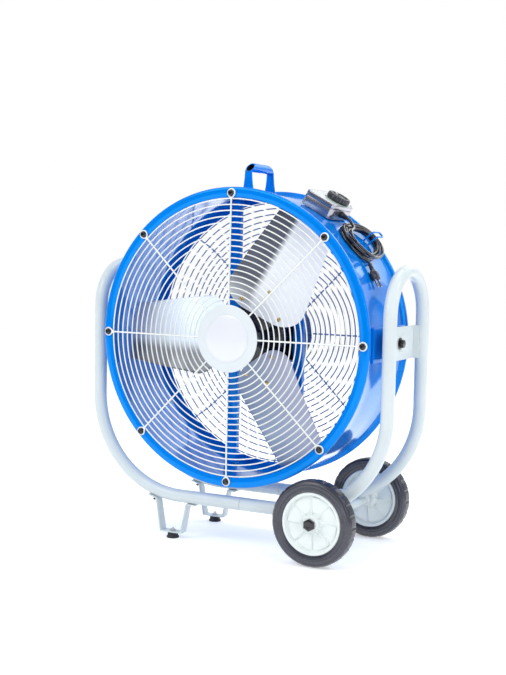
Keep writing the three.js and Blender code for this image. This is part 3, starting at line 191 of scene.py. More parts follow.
# rolled sheet with soft brushing, and a painted reflection band in another tone beyond the crease
def makeBladeFinish(number, own):
    tree, shader, tone = makeFinish(
        f"bladeAluminium_{number}", own["colour"], own["shade"], (0.27, 0.30), metal=own["metal"],
        stretch=(1, 6, 6), cloudScale=3, grainScale=40, relief=0.001)
    across = addNode(tree, "UVMap", uv_map="across")
    split = addNode(tree, "SeparateXYZ")
    edge, fade = (addNode(tree, "MapRange", {"From Min": own[key][0], "From Max": own[key][1]})
                  for key in ("crease", "fade"))
    edge.interpolation_type = "SMOOTHSTEP"
    share = addNode(tree, "Math", operation="MULTIPLY")
    # the painted reflection band, mixed over the blade's own tone
    paintedReflection = addNode(tree, "Mix", {"B": (*own["strip"], 1)}, data_type="RGBA")
    linkNodes(tree, (across, "UV", split, "Vector"), (split, "Y", edge, "Value"),
              (split, "X", fade, "Value"), (edge, "Result", share, 0), (fade, "Result", share, 1),
              (share, "Value", paintedReflection, "Factor"), (tone, "Color", paintedReflection, "A"),
              (paintedReflection, "Result", shader, "Base Color"))


for bladeNumber, bladeLitTone in bladeLitTones.items():
    makeBladeFinish(bladeNumber, bladeLitTone)
print("finishes mixed")

# ways of working


def metres(place):
    return [part * mm for part in place]


def values(settings, names):
    return [settings[name] for name in names.split()]


def leaveEdit():
    bpy.ops.object.mode_set(mode="OBJECT")


def pickOnly(piece):
    if bpy.context.object and bpy.context.object.mode != "OBJECT":
        leaveEdit()
    bpy.ops.object.select_all(action="DESELECT")
    piece.select_set(True)
    bpy.context.view_layer.objects.active = piece


def startEdit(piece):
    pickOnly(piece)
    bpy.ops.object.mode_set(mode="EDIT")
    bpy.ops.mesh.select_all(action="SELECT")


def endEdit():
    bpy.ops.mesh.select_all(action="SELECT")
    bpy.ops.mesh.remove_doubles(threshold=0.00002)
    bpy.ops.mesh.normals_make_consistent(inside=False)
    leaveEdit()


# starts an edit that sends each point to where move says; with a unit of 1, move gets the shares from
# -1 to 1 that a grid of size 2 has
def reshape(piece, move, unit=mm):
    startEdit(piece)
    shape = bmesh.from_edit_mesh(piece.data)
    for point in shape.verts:
        point.co = metres(move(*(part / unit for part in point.co)))
    bmesh.update_edit_mesh(piece.data)


def drawOut(*move):
    bpy.ops.mesh.extrude_region_move(TRANSFORM_OT_translate={"value": metres(move)})


def applyChange(piece, kind, **settings):
    pickOnly(piece)
    change = piece.modifiers.new(kind.title(), kind)
    for key, value in settings.items():
        setattr(change, key, value)
    bpy.ops.object.modifier_apply(modifier=change.name)


def softenEdges(piece, width, segments=2, angle=30):
    applyChange(piece, "BEVEL", width=width * mm, segments=segments, limit_method="ANGLE",
                angle_limit=radians(angle), harden_normals=False)
    return piece


def applyPlace():
    bpy.ops.object.transform_apply(location=True, rotation=True, scale=True)


# turns a piece by degrees about X, Y and Z, then moves it
def setDown(piece, at=(0, 0, 0), turn=(0, 0, 0)):
    pickOnly(piece)
    spin = Matrix.Identity(4)
    for axis, angle in zip("XYZ", turn):
        spin = Matrix.Rotation(radians(angle), 4, axis) @ spin
    piece.matrix_world = Matrix.Translation(metres(at)) @ spin @ piece.matrix_world
    applyPlace()
    return piece


# sets a piece on the drum, from places across, along and outwards at an angle round the drum
def onShell(piece, angle, at=(0, 0, 0), turn=(0, 0, 0)):
    setDown(piece, at, turn)
    return setDown(piece, fanMiddle, (0, angle, 0))


def joinPieces(pieces, name):
    pickOnly(pieces[0])
    for piece in pieces:
        piece.select_set(True)
    if len(pieces) > 1:
        bpy.ops.object.join()
    pieces[0].name = name
    return pieces[0]


def finishPiece(piece, body, slot, finish, *replacing, smooth=35):
    pickOnly(piece)
    bpy.ops.object.shade_smooth_by_angle(angle=radians(smooth))
    if finish:
        piece.data.materials.append(finishes[finish])
    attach(piece, body)
    if replacing:
        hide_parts(*replacing)
    return piece


# the faces that the test picks get the second finish
def paintBoth(piece, first, second, picks):
    piece.data.materials.append(finishes[first])
    piece.data.materials.append(finishes[second])
    for face in piece.data.polygons:
        if picks(face):
            face.material_index = 1


def addShape(add, name, **settings):
    bpy.ops.object.select_all(action="DESELECT")
    add(**settings)
    piece = bpy.context.active_object
    piece.name = name
    applyPlace()
    return piece


# a circle drawn out ring by ring along Z; rings that don't end on the axis run on to the first one
def turnRings(name, rings, sides=64):
    tiny = 0.000004
    rings = [(max(radius * mm, tiny), height * mm) for radius, height in rings]
    radius, height = rings[0]
    piece = addShape(bpy.ops.mesh.primitive_circle_add, name, vertices=sides, radius=radius,
                     location=(0, 0, height))
    startEdit(piece)
    closing = [] if rings[-1][0] == tiny else rings[:1]
    for nextRadius, nextHeight in rings[1:] + closing:
        bpy.ops.mesh.extrude_region_move(TRANSFORM_OT_translate={"value": (0, 0, nextHeight - height)})
        grow = nextRadius / radius
        bpy.ops.transform.resize(value=(grow, grow, 1), center_override=(0, 0, nextHeight))
        radius, height = nextRadius, nextHeight
    endEdit()
    return piece


# a plain round or many-sided bar along Z, with a bore or solid
def turnBar(name, radius, low, high, sides, bore=0):
    return turnRings(name, [(bore, low), (radius, low), (radius, high), (bore, high)], sides)


# rings of one half, then the same rings mirrored
def bothHalves(half):
    return half + [(radius, -height) for radius, height in reversed(half)]


def makeRing(radius, wire, around, across, height=0):
    return addShape(bpy.ops.mesh.primitive_torus_add, "ring", major_radius=radius * mm,
                    minor_radius=wire * mm, major_segments=around, minor_segments=across,
                    location=(0, 0, height * mm))


def repeatAround(piece, count, axis="Z"):
    startEdit(piece)
    for _ in range(count - 1):
        bpy.ops.mesh.duplicate()
        bpy.ops.transform.rotate(value=2 * pi / count, orient_axis=axis, center_override=(0, 0, 0))
    leaveEdit()
    return piece


def makeBox(name, low, high):
    box = addShape(bpy.ops.mesh.primitive_cube_add, name, size=1)
    box.location = [(a + b) / 2 * mm for a, b in zip(low, high)]
    box.scale = [(b - a) * mm for a, b in zip(low, high)]
    applyPlace()
    return box


def makeBlock(name, low, high, bevel, segments=2):
    return softenEdges(makeBox(name, low, high), bevel, segments)


# a merged copy of a CAD node, with its edges rounded off
def dressNode(node, name, bevel, segments=2, angle=30):
    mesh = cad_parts[node].data.copy()
    mesh.materials.clear()
    piece = bpy.data.objects.new(name, mesh)
    bpy.context.scene.collection.objects.link(piece)
    startEdit(piece)
    bpy.ops.mesh.remove_doubles(threshold=0.00005)
    bpy.ops.mesh.dissolve_limited(angle_limit=radians(1))
    leaveEdit()
    if mesh.has_custom_normals:
        bpy.ops.mesh.customdata_custom_splitnormals_clear()
    return softenEdges(piece, bevel, segments, angle)


def bendWire(name, points, radius, unit=mm):
    curve = bpy.data.curves.new(name, "CURVE")
    curve.dimensions = "3D"
    curve.bevel_depth = radius * unit
    curve.bevel_resolution = 3
    curve.use_fill_caps = True
    line = curve.splines.new("POLY")
    line.points.add(len(points) - 1)
    for spot, point in zip(line.points, points):
        spot.co = (*(part * unit for part in point), 1)
    piece = bpy.data.objects.new(name, curve)
    bpy.context.scene.collection.objects.link(piece)
    pickOnly(piece)
    bpy.ops.object.convert(target="MESH")
    return bpy.context.active_object


def arcPoints(centre, start, axis, sweep, steps):
    centre, arm = Vector(centre), Vector(start) - Vector(centre)
    return [centre + Matrix.Rotation(radians(sweep) * i / steps, 3, axis) @ arm for i in range(steps + 1)]


# a domed head with a socket in it
def screwHead(name, radius, height, place, turn=(0, 0, 0)):
    shares = [(1, 0), (1, 0.35), (0.85, 0.8), (0.5, 1), (0.42, 0.98), (0.36, 0.45), (0, 0.45)]
    return setDown(turnRings(name, [(radius * out, height * up) for out, up in shares], 20), place, turn)


def smoothStep(t):
    t = min(1, max(0, t))
    return t * t * (3 - 2 * t)


# centripetal curve through the points, then even steps along it
def smoothRun(points, steps):
    def mix(p, q, start, end):
        return p * ((end - t) / (end - start)) + q * ((t - start) / (end - start))

    ends = [points[0] * 2 - points[1], *points, points[-1] * 2 - points[-2]]
    fine = []
    for i in range(1, len(ends) - 2):
        p0, p1, p2, p3 = ends[i - 1:i + 3]
        t0 = 0
        t1 = t0 + sqrt((p1 - p0).length)
        t2 = t1 + sqrt((p2 - p1).length)
        t3 = t2 + sqrt((p3 - p2).length)
        for k in range(40):
            t = t1 + (t2 - t1) * k / 40
            a1, a2, a3 = mix(p0, p1, t0, t1), mix(p1, p2, t1, t2), mix(p2, p3, t2, t3)
            fine.append(mix(mix(a1, a2, t0, t2), mix(a2, a3, t1, t3), t1, t2))
    fine.append(points[-1])
    lengths = [0]
    for a, b in zip(fine, fine[1:]):
        lengths.append(lengths[-1] + (b - a).length)
    spaced, j = [], 0
    for i in range(steps + 1):
        goal = lengths[-1] * i / steps
        while j < len(fine) - 2 and lengths[j + 1] < goal:
            j += 1
        part = (goal - lengths[j]) / max(1e-9, lengths[j + 1] - lengths[j])
        spaced.append(fine[j].lerp(fine[j + 1], min(1, part)))
    return spaced


# cord, drawn in metres on the route of its solid
cordSettings = {
    "diameter": 7 * mm, "drum": 346 * mm, "floor": 0.5 * mm, "pitch": 7.9 * mm, "turns": 5.03,
    "startAngle": -80, "stepsPerTurn": 24, "angle": 48.5, "along": 12 * mm, "halfAcross": 54 * mm,
    "halfAlong": 72 * mm, "lift": 8 * mm, "steps": 760,
}
# the lowest layer's distance from the drum's axis
cordLevel = cordSettings["drum"] + cordSettings["floor"] + cordSettings["diameter"] / 2
glandSettings = {"angle": 29.1, "tip": 59.6, "along": 12, "out": 363}
plugSettings = {"angle": 62.5, "along": -26, "out": 354.3, "cordEnd": -21.3, "length": 42,
                "halfWidth": 17.6, "halfThick": 8, "neck": 5, "pinRadius": 2.4, "pinLength": 17,
                "pinSpacing": 19}


def drumPoint(across, along, radius):
    angle = radians(cordSettings["angle"]) + across / cordSettings["drum"]
    return Vector((radius * sin(angle), along, pivotHeight * mm + radius * cos(angle)))


def framePoint(place, across):
    angle, along, out = radians(place["angle"]), place["along"] * mm, place["out"] * mm
    return Vector((across * cos(angle) + out * sin(angle), along,
                   pivotHeight * mm - across * sin(angle) + out * cos(angle)))


# the hank spirals in over the top, and out again on the drum
def hankPoint(turns):
    cord = cordSettings
    pitch = cord["pitch"]
    reversal = (cord["turns"] + 0.5) / 2
    if turns < 0.5:
        roll = pi / 2 * (1 - smoothStep(2 * turns))
        inset, layer = pitch * (turns + 0.5 - cos(roll)), 1 + sin(roll)
    else:
        inset = pitch * (min(turns, 2 * reversal - turns) - 0.5)
        layer = 1 - smoothStep((turns - reversal) / 0.5 + 0.5)
    angle = radians(cord["startAngle"]) + 2 * pi * turns
    across = (cord["halfAcross"] - inset) * cos(angle)
    along = cord["along"] + (cord["halfAlong"] - inset) * sin(angle)
    lift = cord["lift"] * smoothStep((along - cord["along"]) / cord["halfAlong"])
    return drumPoint(across, along, cordLevel + layer * pitch + lift)


def cordRoute():
    cord, thick = cordSettings, cordSettings["diameter"]

    def spots(level, places):
        return [drumPoint(across * mm, along * mm, level + rise * mm) for across, along, rise in places]

    gland = [framePoint(glandSettings, glandSettings["tip"] * mm + out) for out in (0, thick)]
    lead = spots(cordLevel + 2 * cord["pitch"], [(-42, 8, 1.5), (-32, 0, 0.8), (-26, -12, 0.5),
                                                 (-23, -25, 0.4), (-17, -38, 0.2), (-6, -49, 0)])
    steps = round(cord["turns"] * cord["stepsPerTurn"])
    turns = [hankPoint(i / steps * cord["turns"]) for i in range(steps + 1)]
    tail = spots(cordLevel, [(30, -49.5, 0), (41, -41, 0.6), (51, -32.5, 3)])
    plug = [framePoint(plugSettings, plugSettings["cordEnd"] * mm - back) for back in (thick, 0)]
    leadIn = smoothRun([gland[1], *lead, turns[0], turns[1]], 30)[:-1]
    tailOut = smoothRun([turns[-1], *tail, plug[0]], 21)[1:]
    return smoothRun([gland[0], *leadIn, *turns[1:], *tailOut, plug[1]], cord["steps"])


def makeCord():
    route = cordRoute()
    length = sum((b - a).length for a, b in zip(route, route[1:]))
    cord = bendWire("powerCord", route, cordSettings["diameter"] / 2, unit=1)
    finishPiece(cord, "drum", "cord_rubber", "cordPvc", "power_cord", smooth=60)
    print(f"cord laid, {length:.3f} m")
    return cord, route, length


cord, cordPath, cordLength = makeCord()


# moulded two-pin plug: ribbed neck, flared body, sleeved pins
def makePlug():
    plug = plugSettings
    place = (0, plug["along"], plug["out"])
    length, neck, halfWidth, halfThick = values(plug, "length neck halfWidth halfThick")
    half = length / 2
    body = addShape(bpy.ops.mesh.primitive_cylinder_add, "plugNeck", vertices=32, radius=neck * mm,
                    depth=2 * mm, location=metres((1 - half, 0, 0)), rotation=(0, pi / 2, 0))
    startEdit(body)
    bpy.ops.mesh.select_all(action="DESELECT")
    shape = bmesh.from_edit_mesh(body.data)
    for face in shape.faces:
        face.select = face.normal.x > 0.9
    bmesh.update_edit_mesh(body.data)
    here, wide, thick = 2 - half, neck, neck
    ribs = [(3, 0.84), (1, 0.84), (0.3, 1.03), (1.8, 1.03), (0.3, 0.86), (1, 0.86), (0.3, 1.06),
            (1.8, 1.06), (0.3, 0.9), (1.2, 0.9)]
    flare = [(3.5, 0.55, 0.7), (3.5, 0.76, 0.86), (5, 0.9, 0.97), (8, 1, 1), (6, 1, 1), (1.2, 0.94, 0.9)]
    stages = [(step, neck * size, neck * size) for step, size in ribs]
    stages += [(step, halfWidth * across, halfThick * up) for step, across, up in flare]
    for step, nextWide, nextThick in stages:
        here += step
        drawOut(step, 0, 0)
        bpy.ops.transform.resize(value=(1, nextWide / wide, nextThick / thick),
                                 center_override=metres((here, 0, 0)))
        wide, thick = nextWide, nextThick
    leaveEdit()
    softenEdges(body, 0.4, 2, 40)
    grip = makeBlock("plugGrip", (0, -7, 7.2), (13, 7, 8.4), 0.8)
    body = onShell(joinPieces([body, grip], "plugBody"), plug["angle"], place)
    finishPiece(body, "drum", "black_plastic", "knobPlastic", "power_plug", smooth=40)
    pins = []
    for side in (-1, 1):
        radius, length = values(plug, "pinRadius pinLength")
        pin = turnRings("pin", [(radius, -2), (radius, length - 2), (radius * 0.8, length - 0.7),
                                (radius * 0.45, length), (0, length)], 20)
        pins.append(setDown(pin, (half, side * plug["pinSpacing"] / 2, 0), (0, 90, 0)))
    pins = onShell(joinPieces(pins, "plugPins"), plug["angle"], place)
    finishPiece(pins, "drum", "steel", "pinNickel")
    return body, pins


plugBody, plugPins = makePlug()
print("plug on the cord")

# tube cradle
cradleSettings = {"tube": 15.9, "rail": 106, "apart": 105, "side": 390, "bend": 240, "top": 672,
                  "seam": 24, "gap": 0.7, "spigot": 14.6}


def makeLoop(name, side):
    loop = cradleSettings
    apart, bendX, bendZ = loop["apart"], side * (loop["side"] - loop["bend"]), loop["rail"] + loop["bend"]
    start = loop["seam"] + side * loop["gap"] / 2
    tube = addShape(bpy.ops.mesh.primitive_circle_add, name, vertices=40, radius=loop["tube"] * mm,
                    rotation=(0, pi / 2, 0), location=metres((start, -apart, loop["rail"])))
    startEdit(tube)
    run = bendX - start
    rise = loop["top"] - apart - bendZ

    def bend(centre, axis, angle, steps):
        bpy.ops.mesh.spin(steps=steps, angle=radians(angle), center=metres(centre), axis=axis)

    drawOut(run, 0, 0)
    bend((bendX, -apart, bendZ), (0, side, 0), 90, 20)
    drawOut(0, 0, rise)
    bend((side * loop["side"], 0, loop["top"] - apart), (1, 0, 0), 180, 32)
    drawOut(0, 0, -rise)
    bend((bendX, apart, bendZ), (0, side, 0), -90, 20)
    drawOut(-run, 0, 0)
    endEdit()
    # closes both ends
    startEdit(tube)
    bpy.ops.mesh.select_all(action="DESELECT")
    bpy.ops.mesh.select_mode(type="EDGE")
    bpy.ops.mesh.select_non_manifold()
    bpy.ops.mesh.edge_face_add()
    leaveEdit()
    softenEdges(tube, 0.9, 3, 60)
    startEdit(tube)
    endEdit()
    return tube


for name, side in leftRight:
    finishPiece(makeLoop(f"cradleLoop_{name}", side), *cradleCoat, f"frame_loop_{name}")
# a spigot core inside each seam, in the painted shadow finish, keeps the gap dark
seamCores = []
for side in (-1, 1):
    core = turnBar("seamCore", cradleSettings["spigot"], -3, 3, 40)
    place = (cradleSettings["seam"], side * cradleSettings["apart"], cradleSettings["rail"])
    seamCores.append(setDown(core, place, (0, 90, 0)))
finishPiece(joinPieces(seamCores, "seamSpigots"), "frame", "frame_paint", "tubeShadow")

axleSettings = {"x": 244, "z": 100, "tube": 10.65, "bore": 8.2, "reach": 146, "weld": 1.4, "capAt": 190}


def makeAxle():
    axle = axleSettings
    x, z, outer, bore, reach = values(axle, "x z tube bore reach")
    tube = turnRings("axleTube", [(bore, -reach), (outer - 0.6, -reach), (outer, -reach + 0.6),
                                  (outer, reach - 0.6), (outer - 0.6, reach), (bore, reach)], 40)
    parts = [setDown(tube, (x, 0, z), faceForward)]
    for y in (side * cradleSettings["apart"] + end * 13.5 for side in (-1, 1) for end in (-1, 1)):
        parts.append(setDown(makeRing(outer + 0.4, axle["weld"], 40, 8), (x, y, z), faceForward))
    finishPiece(joinPieces(parts, "axleTube"), *cradleCoat, "axle_tube")
    finishPiece(dressNode("axle_rod", "axleRod", 0.5, 2, 40), "frame", "steel", "steel", "axle_rod")


makeAxle()
print("cradle bent")

wheelSettings = {"centre": 169, "sectors": 8, "sides": 96, "tyreSides": 144}


# rolled lip, barrel, dished web and hub, with ribs on both faces
def makeRim(name):
    half = [(7.9, 21), (12, 21), (16.5, 20.4), (18.5, 18.5), (20, 12), (21.5, 8.6), (24, 7.6), (58.5, 5.6),
            (61.5, 6.6), (63.6, 9.5), (65, 14), (66.2, 16.2), (68.5, 17), (71, 16.6), (72.4, 15),
            (72.4, 8)]
    parts = [turnRings(name, bothHalves(half), wheelSettings["sides"])]
    for side in (-1, 1):
        def swell(x, y, z):
            if z > 7:
                z += 6 * (1 - (x - 19) / 45) ** 2 - 1.2
            return x, y, side * z

        rib = makeBlock("rib", (19, -1.1, 4), (64, 1.1, 9.6), 0.6)
        reshape(rib, swell)
        endEdit()
        parts.append(repeatAround(rib, wheelSettings["sectors"]))
    return joinPieces(parts, name)


# sloped panel in each sector, stepping up at every rib
def makeSectorPanels(name):
    panels = []
    for side in (-1, 1):
        def lay(out, turn, _):
            radius, angle = 43 + 17.5 * out, radians(22.5) + turn * radians(21.6)
            height = 6.3 + 2.3 * (turn + 1) - 0.5 * abs(out)
            return radius * cos(angle), radius * sin(angle), side * height

        panel = addShape(bpy.ops.mesh.primitive_grid_add, name, x_subdivisions=6, y_subdivisions=8, size=2)
        reshape(panel, lay, unit=1)
        drawOut(0, 0, -side * 5.5)
        endEdit()
        softenEdges(panel, 0.5, 2, 40)
        panels.append(repeatAround(panel, wheelSettings["sectors"]))
    return joinPieces(panels, name)


def makeTyre(name):
    half = [(72.7, 12), (72.7, 15.6), (73.6, 17), (76, 17.5), (77, 18.5), (79.6, 18.9), (80.6, 18),
            (83, 17.9), (84, 18.8), (88.6, 19), (89.8, 18), (91.6, 17.7), (92.8, 18), (95.2, 17.2),
            (97.2, 15.4), (98.8, 13.2), (99.2, 12), (97.8, 11.6), (97.8, 10.6), (99.5, 10.2), (99.8, 6.4),
            (98.1, 6), (98.1, 5), (100, 4.6), (100, 1), (98.2, 0.6)]
    tread, cutTo, every = 98.2, 97.6, 6

    def cutTread(x, y, z):
        radius = hypot(x, y)
        step = round(degrees(atan2(y, x)) * wheelSettings["tyreSides"] / 360)
        if radius > tread and step % every == 0:
            return x * cutTo / radius, y * cutTo / radius, z
        return x, y, z

    tyre = turnRings(name, bothHalves(half), wheelSettings["tyreSides"])
    reshape(tyre, cutTread)
    endEdit()
    return tyre


def makeAxleCap(name):
    cap = turnRings(name, [(8.3, 0.4), (14.4, 0.4), (14.4, 8.2), (11.8, 10.6), (6.4, 10.9), (5.8, 10.2),
                           (0, 10.2)], 6)
    return softenEdges(cap, 0.7, 3, 20)


for name, side, turn in (("front", -1, faceForward), ("rear", 1, faceBackward)):
    centre = (axleSettings["x"], side * wheelSettings["centre"], axleSettings["z"])
    rim = joinPieces([makeRim("rim"), makeSectorPanels("panels")], f"wheelRim_{name}")
    finishPiece(setDown(rim, centre, turn), f"wheel_{name}", "white_plastic", "rimPlastic",
                f"wheel_rim_{name}", smooth=30)
    tyre = setDown(makeTyre(f"wheelTyre_{name}"), centre, turn)
    finishPiece(tyre, f"wheel_{name}", "tyre_rubber", "tyreRubber", f"tyre_{name}", smooth=28)
    cap = makeAxleCap(f"axleCap_{name}")
    setDown(cap, (centre[0], side * axleSettings["capAt"], centre[2]), turn)
    finishPiece(cap, "frame", "black_plastic", "boltBlack", f"axle_cap_{name}", smooth=30)
print("wheels on the axle")

# each screw of a foot strap has its x, its height and its lean
footSettings = {"x": -168, "screws": ((-223, 94.2, 15.6), (-113, 89.6, 0))}


def makeFoot(name, side):
    along = side * cradleSettings["apart"]
    place = (footSettings["x"], along, 0)
    strap = dressNode(f"foot_bracket_{name}", f"footStrap_{name}", 0.8, 3, 12)
    finishPiece(strap, *cradleCoat, f"foot_bracket_{name}", smooth=30)
    rings = [(3.3, 14), (11, 14), (12.4, 13.4), (13, 12), (13.6, 9), (12.8, 8.2), (13.2, 6.8), (15, 4.2),
             (15.8, 2.6), (16, 1.2), (15.4, 0), (6.4, 0), (6.2, 4), (3.3, 4)]
    foot = setDown(turnRings(f"rubberFoot_{name}", rings, 48), place)
    finishPiece(foot, "frame", "rubber", "footRubber", f"rubber_foot_{name}")
    bolt = turnRings("bolt", [(0, 1), (5.6, 1), (5.6, 3.6), (3, 3.6), (3, 25), (2.4, 25.6), (0, 25.6)], 24)
    nut = softenEdges(turnBar("nut", 5.9, 17.7, 21.6, 6, 3), 0.4)
    washer = turnBar("washer", 8, 17.2, 18, 32, 3)
    bolt = setDown(joinPieces([bolt, nut, washer], f"footBolt_{name}"), place)
    finishPiece(bolt, "frame", "steel", "steel", f"foot_bolt_{name}")
    heads = [screwHead("strapScrew", 4, 2.6, (x, along, height - 3.6), (180, lean, 0))
             for x, height, lean in footSettings["screws"]]
    finishPiece(joinPieces(heads, f"strapScrews_{name}"), "frame", "black_steel", "boltBlack")


makeFoot("front", -1)
makeFoot("rear", 1)
print("feet under the rails")


# heights along a pivot count from the middle of the fan outwards
def makePivot(name, side):
    def onPivot(piece):
        return setDown(piece, fanMiddle, (0, 90 * side, 0))

    bracket = dressNode(f"pivot_bracket_{name}", f"pivotBracket_{name}", 0.8, 3)
    finishPiece(bracket, *cradleCoat, f"pivot_bracket_{name}")
    rings = [(0, 377), (10.6, 377), (10.6, 385), (9.2, 386), (0, 386.2)]
    head = softenEdges(turnRings("hex", rings, 6), 0.5, 2, 25)
    washer = turnRings("flange", [(0, 375.3), (14, 375.3), (14, 376.4), (11.5, 377.6), (0, 377.8)], 40)
    shank = turnBar("shank", 6, 330, 376, 28)
    bolt = onPivot(joinPieces([head, washer, shank], f"pivotBolt_{name}"))
    finishPiece(bolt, "frame", "black_steel", "boltBlack", f"pivot_bolt_{name}")
    spacer = turnRings(f"pivotSpacer_{name}", [(6.3, 355.3), (14.4, 355.3), (15, 356), (15, 371),
                                               (14.4, 371.7), (6.3, 371.7)], 40)
    finishPiece(onPivot(spacer), "frame", "nylon", "nylon", f"pivot_spacer_{name}")
    low, high = sorted(abs(corner.x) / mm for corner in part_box(f"pivot_nut_{name}"))
    nut = onPivot(softenEdges(turnBar(f"pivotNut_{name}", 10.3, low, high, 6, 6.3), 0.6, 2, 25))
    finishPiece(nut, "frame", "steel", "steel", f"pivot_nut_{name}")
    pad = dressNode(f"pivot_pad_{name}", f"pivotPad_{name}", 1.2, 3, 35)
    finishPiece(pad, *drumCoat, f"pivot_pad_{name}")


for name, side in leftRight:
    makePivot(name, side)
print("pivots bolted")

drumSettings = {"sides": 192, "front": -140, "rear": 110, "outside": 346, "inside": 344,
                "straight": (-60, 20)}
# radius and depth behind the face, round the outside of a rolled rim and round its inside
rimOutside = [(331, 4.2), (331, 3), (331.5, 2.4), (333, 2), (340.4, 0.2), (341.6, 0), (342.6, 0),
              (348.8, 0), (349.5, 0), (352.5, 0.5), (354.6, 1.8), (355.7, 3.6), (356, 6), (356, 10),
              (355.4, 12.2), (353.6, 14.2), (350.8, 15.8), (348.2, 17.6), (346.7, 20), (346, 23)]
rimInside = [(348.5, 2), (351.8, 2.8), (353.6, 4.8), (354, 9.6), (352.6, 12), (349.6, 14), (346.4, 16.4),
             (344.6, 19.4), (344, 23)]


def wallRings(rim, wall):
    front = [(radius, drumSettings["front"] + depth) for radius, depth in rim]
    rear = [(radius, drumSettings["rear"] - depth) for radius, depth in reversed(rim)]
    return front + [(wall, height) for height in drumSettings["straight"]] + rear


def makeDrum():
    drum = drumSettings
    outside, inside = wallRings(rimOutside, drum["outside"]), wallRings(rimInside, drum["inside"])
    shell = turnRings("drumShell", outside + inside[::-1], drum["sides"])

    def isLining(face):
        out = Vector((face.center.x, face.center.y, 0))
        return out.normalized().dot(face.normal) < -0.5 and out.length > 340 * mm

    # the inward-facing faces of the wall take the darker copy of the blue paint, as painted shade
    paintBoth(shell, "bluePaint", "liningShadedPaint", isLining)
    setDown(shell, fanMiddle, faceBackward)
    finishPiece(shell, "drum", "blue_paint", None, "drum_shell", smooth=50)
    seam = onShell(makeBlock("drumSeam", (-1.6, -116, 345.2), (1.6, 86, 346.9), 0.7, 3), 180)
    finishPiece(seam, *drumCoat)


makeDrum()

handleSettings = {"height": pivotHeight + 406, "tube": 11, "bore": 9, "front": -64, "rear": 60,
                  "slant": 1.15, "plate": 4, "plates": {"front": -61, "rear": 53}}
# half of a plate's outline: round the underside of the tube, then down to the flared foot
plateOutline = [(0, -10.2), (2.6, -9.9), (5.1, -8.8), (7.2, -7.2), (8.8, -5.2), (9.2, -12), (9.9, -24),
                (11.4, -38), (13.6, -50), (16.4, -58), (17.8, -60.7)]


def makeHandlePlate(name, along):
    spots = iter(plateOutline + [(-x, z) for x, z in plateOutline[:0:-1]])

    def nextSpot(*_):
        x, z = next(spots)
        return x, along, handleSettings["height"] + z

    plate = addShape(bpy.ops.mesh.primitive_circle_add, name, vertices=2 * len(plateOutline) - 1,
                     radius=0.01, fill_type="NGON")
    reshape(plate, nextSpot)
    drawOut(0, handleSettings["plate"], 0)
    endEdit()
    return softenEdges(plate, 0.8, 3, 25)


def makeHandle():
    height, outer, bore, front, rear = values(handleSettings, "height tube bore front rear")
    tube = turnRings("handleTube", [(bore, front + 0.5), (bore + 0.5, front), (outer - 0.6, front),
                                    (outer, front + 0.6), (outer, rear - 0.6), (outer - 0.6, rear),
                                    (bore + 0.5, rear), (bore, rear - 0.5)], 48)
    setDown(tube, (0, 0, height), faceBackward)

    def cutEnds(x, y, z):
        back = (z - height + outer) * handleSettings["slant"]
        if y < front + 2:
            y += back
        elif y > rear - 2:
            y -= back
        return x, y, z

    def isBore(face):
        return hypot(face.center.x, face.center.z - height * mm) < (bore + 0.2) * mm

    reshape(tube, cutEnds)
    endEdit()
    # the bore gets the painted shadow finish
    paintBoth(tube, "bluePaint", "tubeShadow", isBore)
    finishPiece(tube, "drum", "blue_paint", None, "handle_tube")
    for name, along in handleSettings["plates"].items():
        finishPiece(makeHandlePlate(f"handlePlate_{name}", along), *drumCoat,
                    f"handle_plate_{name}", smooth=40)
    low, high = pivotHeight + 345, pivotHeight + 347.4
    welds = [makeBlock("footWeld", (-14.5, along - 1.1, low), (14.5, along + 5.1, high), 1.1, 3)
             for along in handleSettings["plates"].values()]
    finishPiece(joinPieces(welds, "handleWelds"), *drumCoat)


makeHandle()
print("drum rolled")

guardSettings = {"boltCircle": 341.5, "rings": 18, "pitch": 13.85, "outer": 328.6, "wire": 1.6, "spoke": 2,
                 "eyelet": 9.1, "spokeEnd": 66, "spokes": 8, "drawnBack": 0.55}
# radius and height along a spoke
frontRise = [(331, 2.3), (64, 7.3)]
rearRise = [(331, 2.3), (290, 28.3), (64, 38.3)]


# sets a piece on the front or rear face of the drum, looking outwards
def onFace(piece, face, x=0, z=0):
    turn = faceForward if face == "front" else faceBackward
    return setDown(piece, (x, drumSettings[face], pivotHeight + z), turn)


def riseAt(radius, profile):
    for (outerR, outerH), (innerR, innerH) in zip(profile, profile[1:]):
        if radius >= innerR:
            share = min(1, max(0, (outerR - radius) / (outerR - innerR)))
            return outerH + share * (innerH - outerH)
    return profile[-1][1]


# an eyelet round the bolt, drawn out to a point where the spoke runs in
def makeEyelet():
    guard = guardSettings
    eyelet = makeRing(guard["eyelet"] - 0.2, guard["spoke"], 32, 10)
    setDown(eyelet, (guard["boltCircle"], 0, 2.3))

    def drawPoint(x, y, z):
        back = guard["boltCircle"] - x - 4
        if back > 0:
            return x - back * guard["drawnBack"], y * (1 - back / 9 * guard["drawnBack"]), z
        return x, y, z

    reshape(eyelet, drawPoint)
    endEdit()
    return eyelet


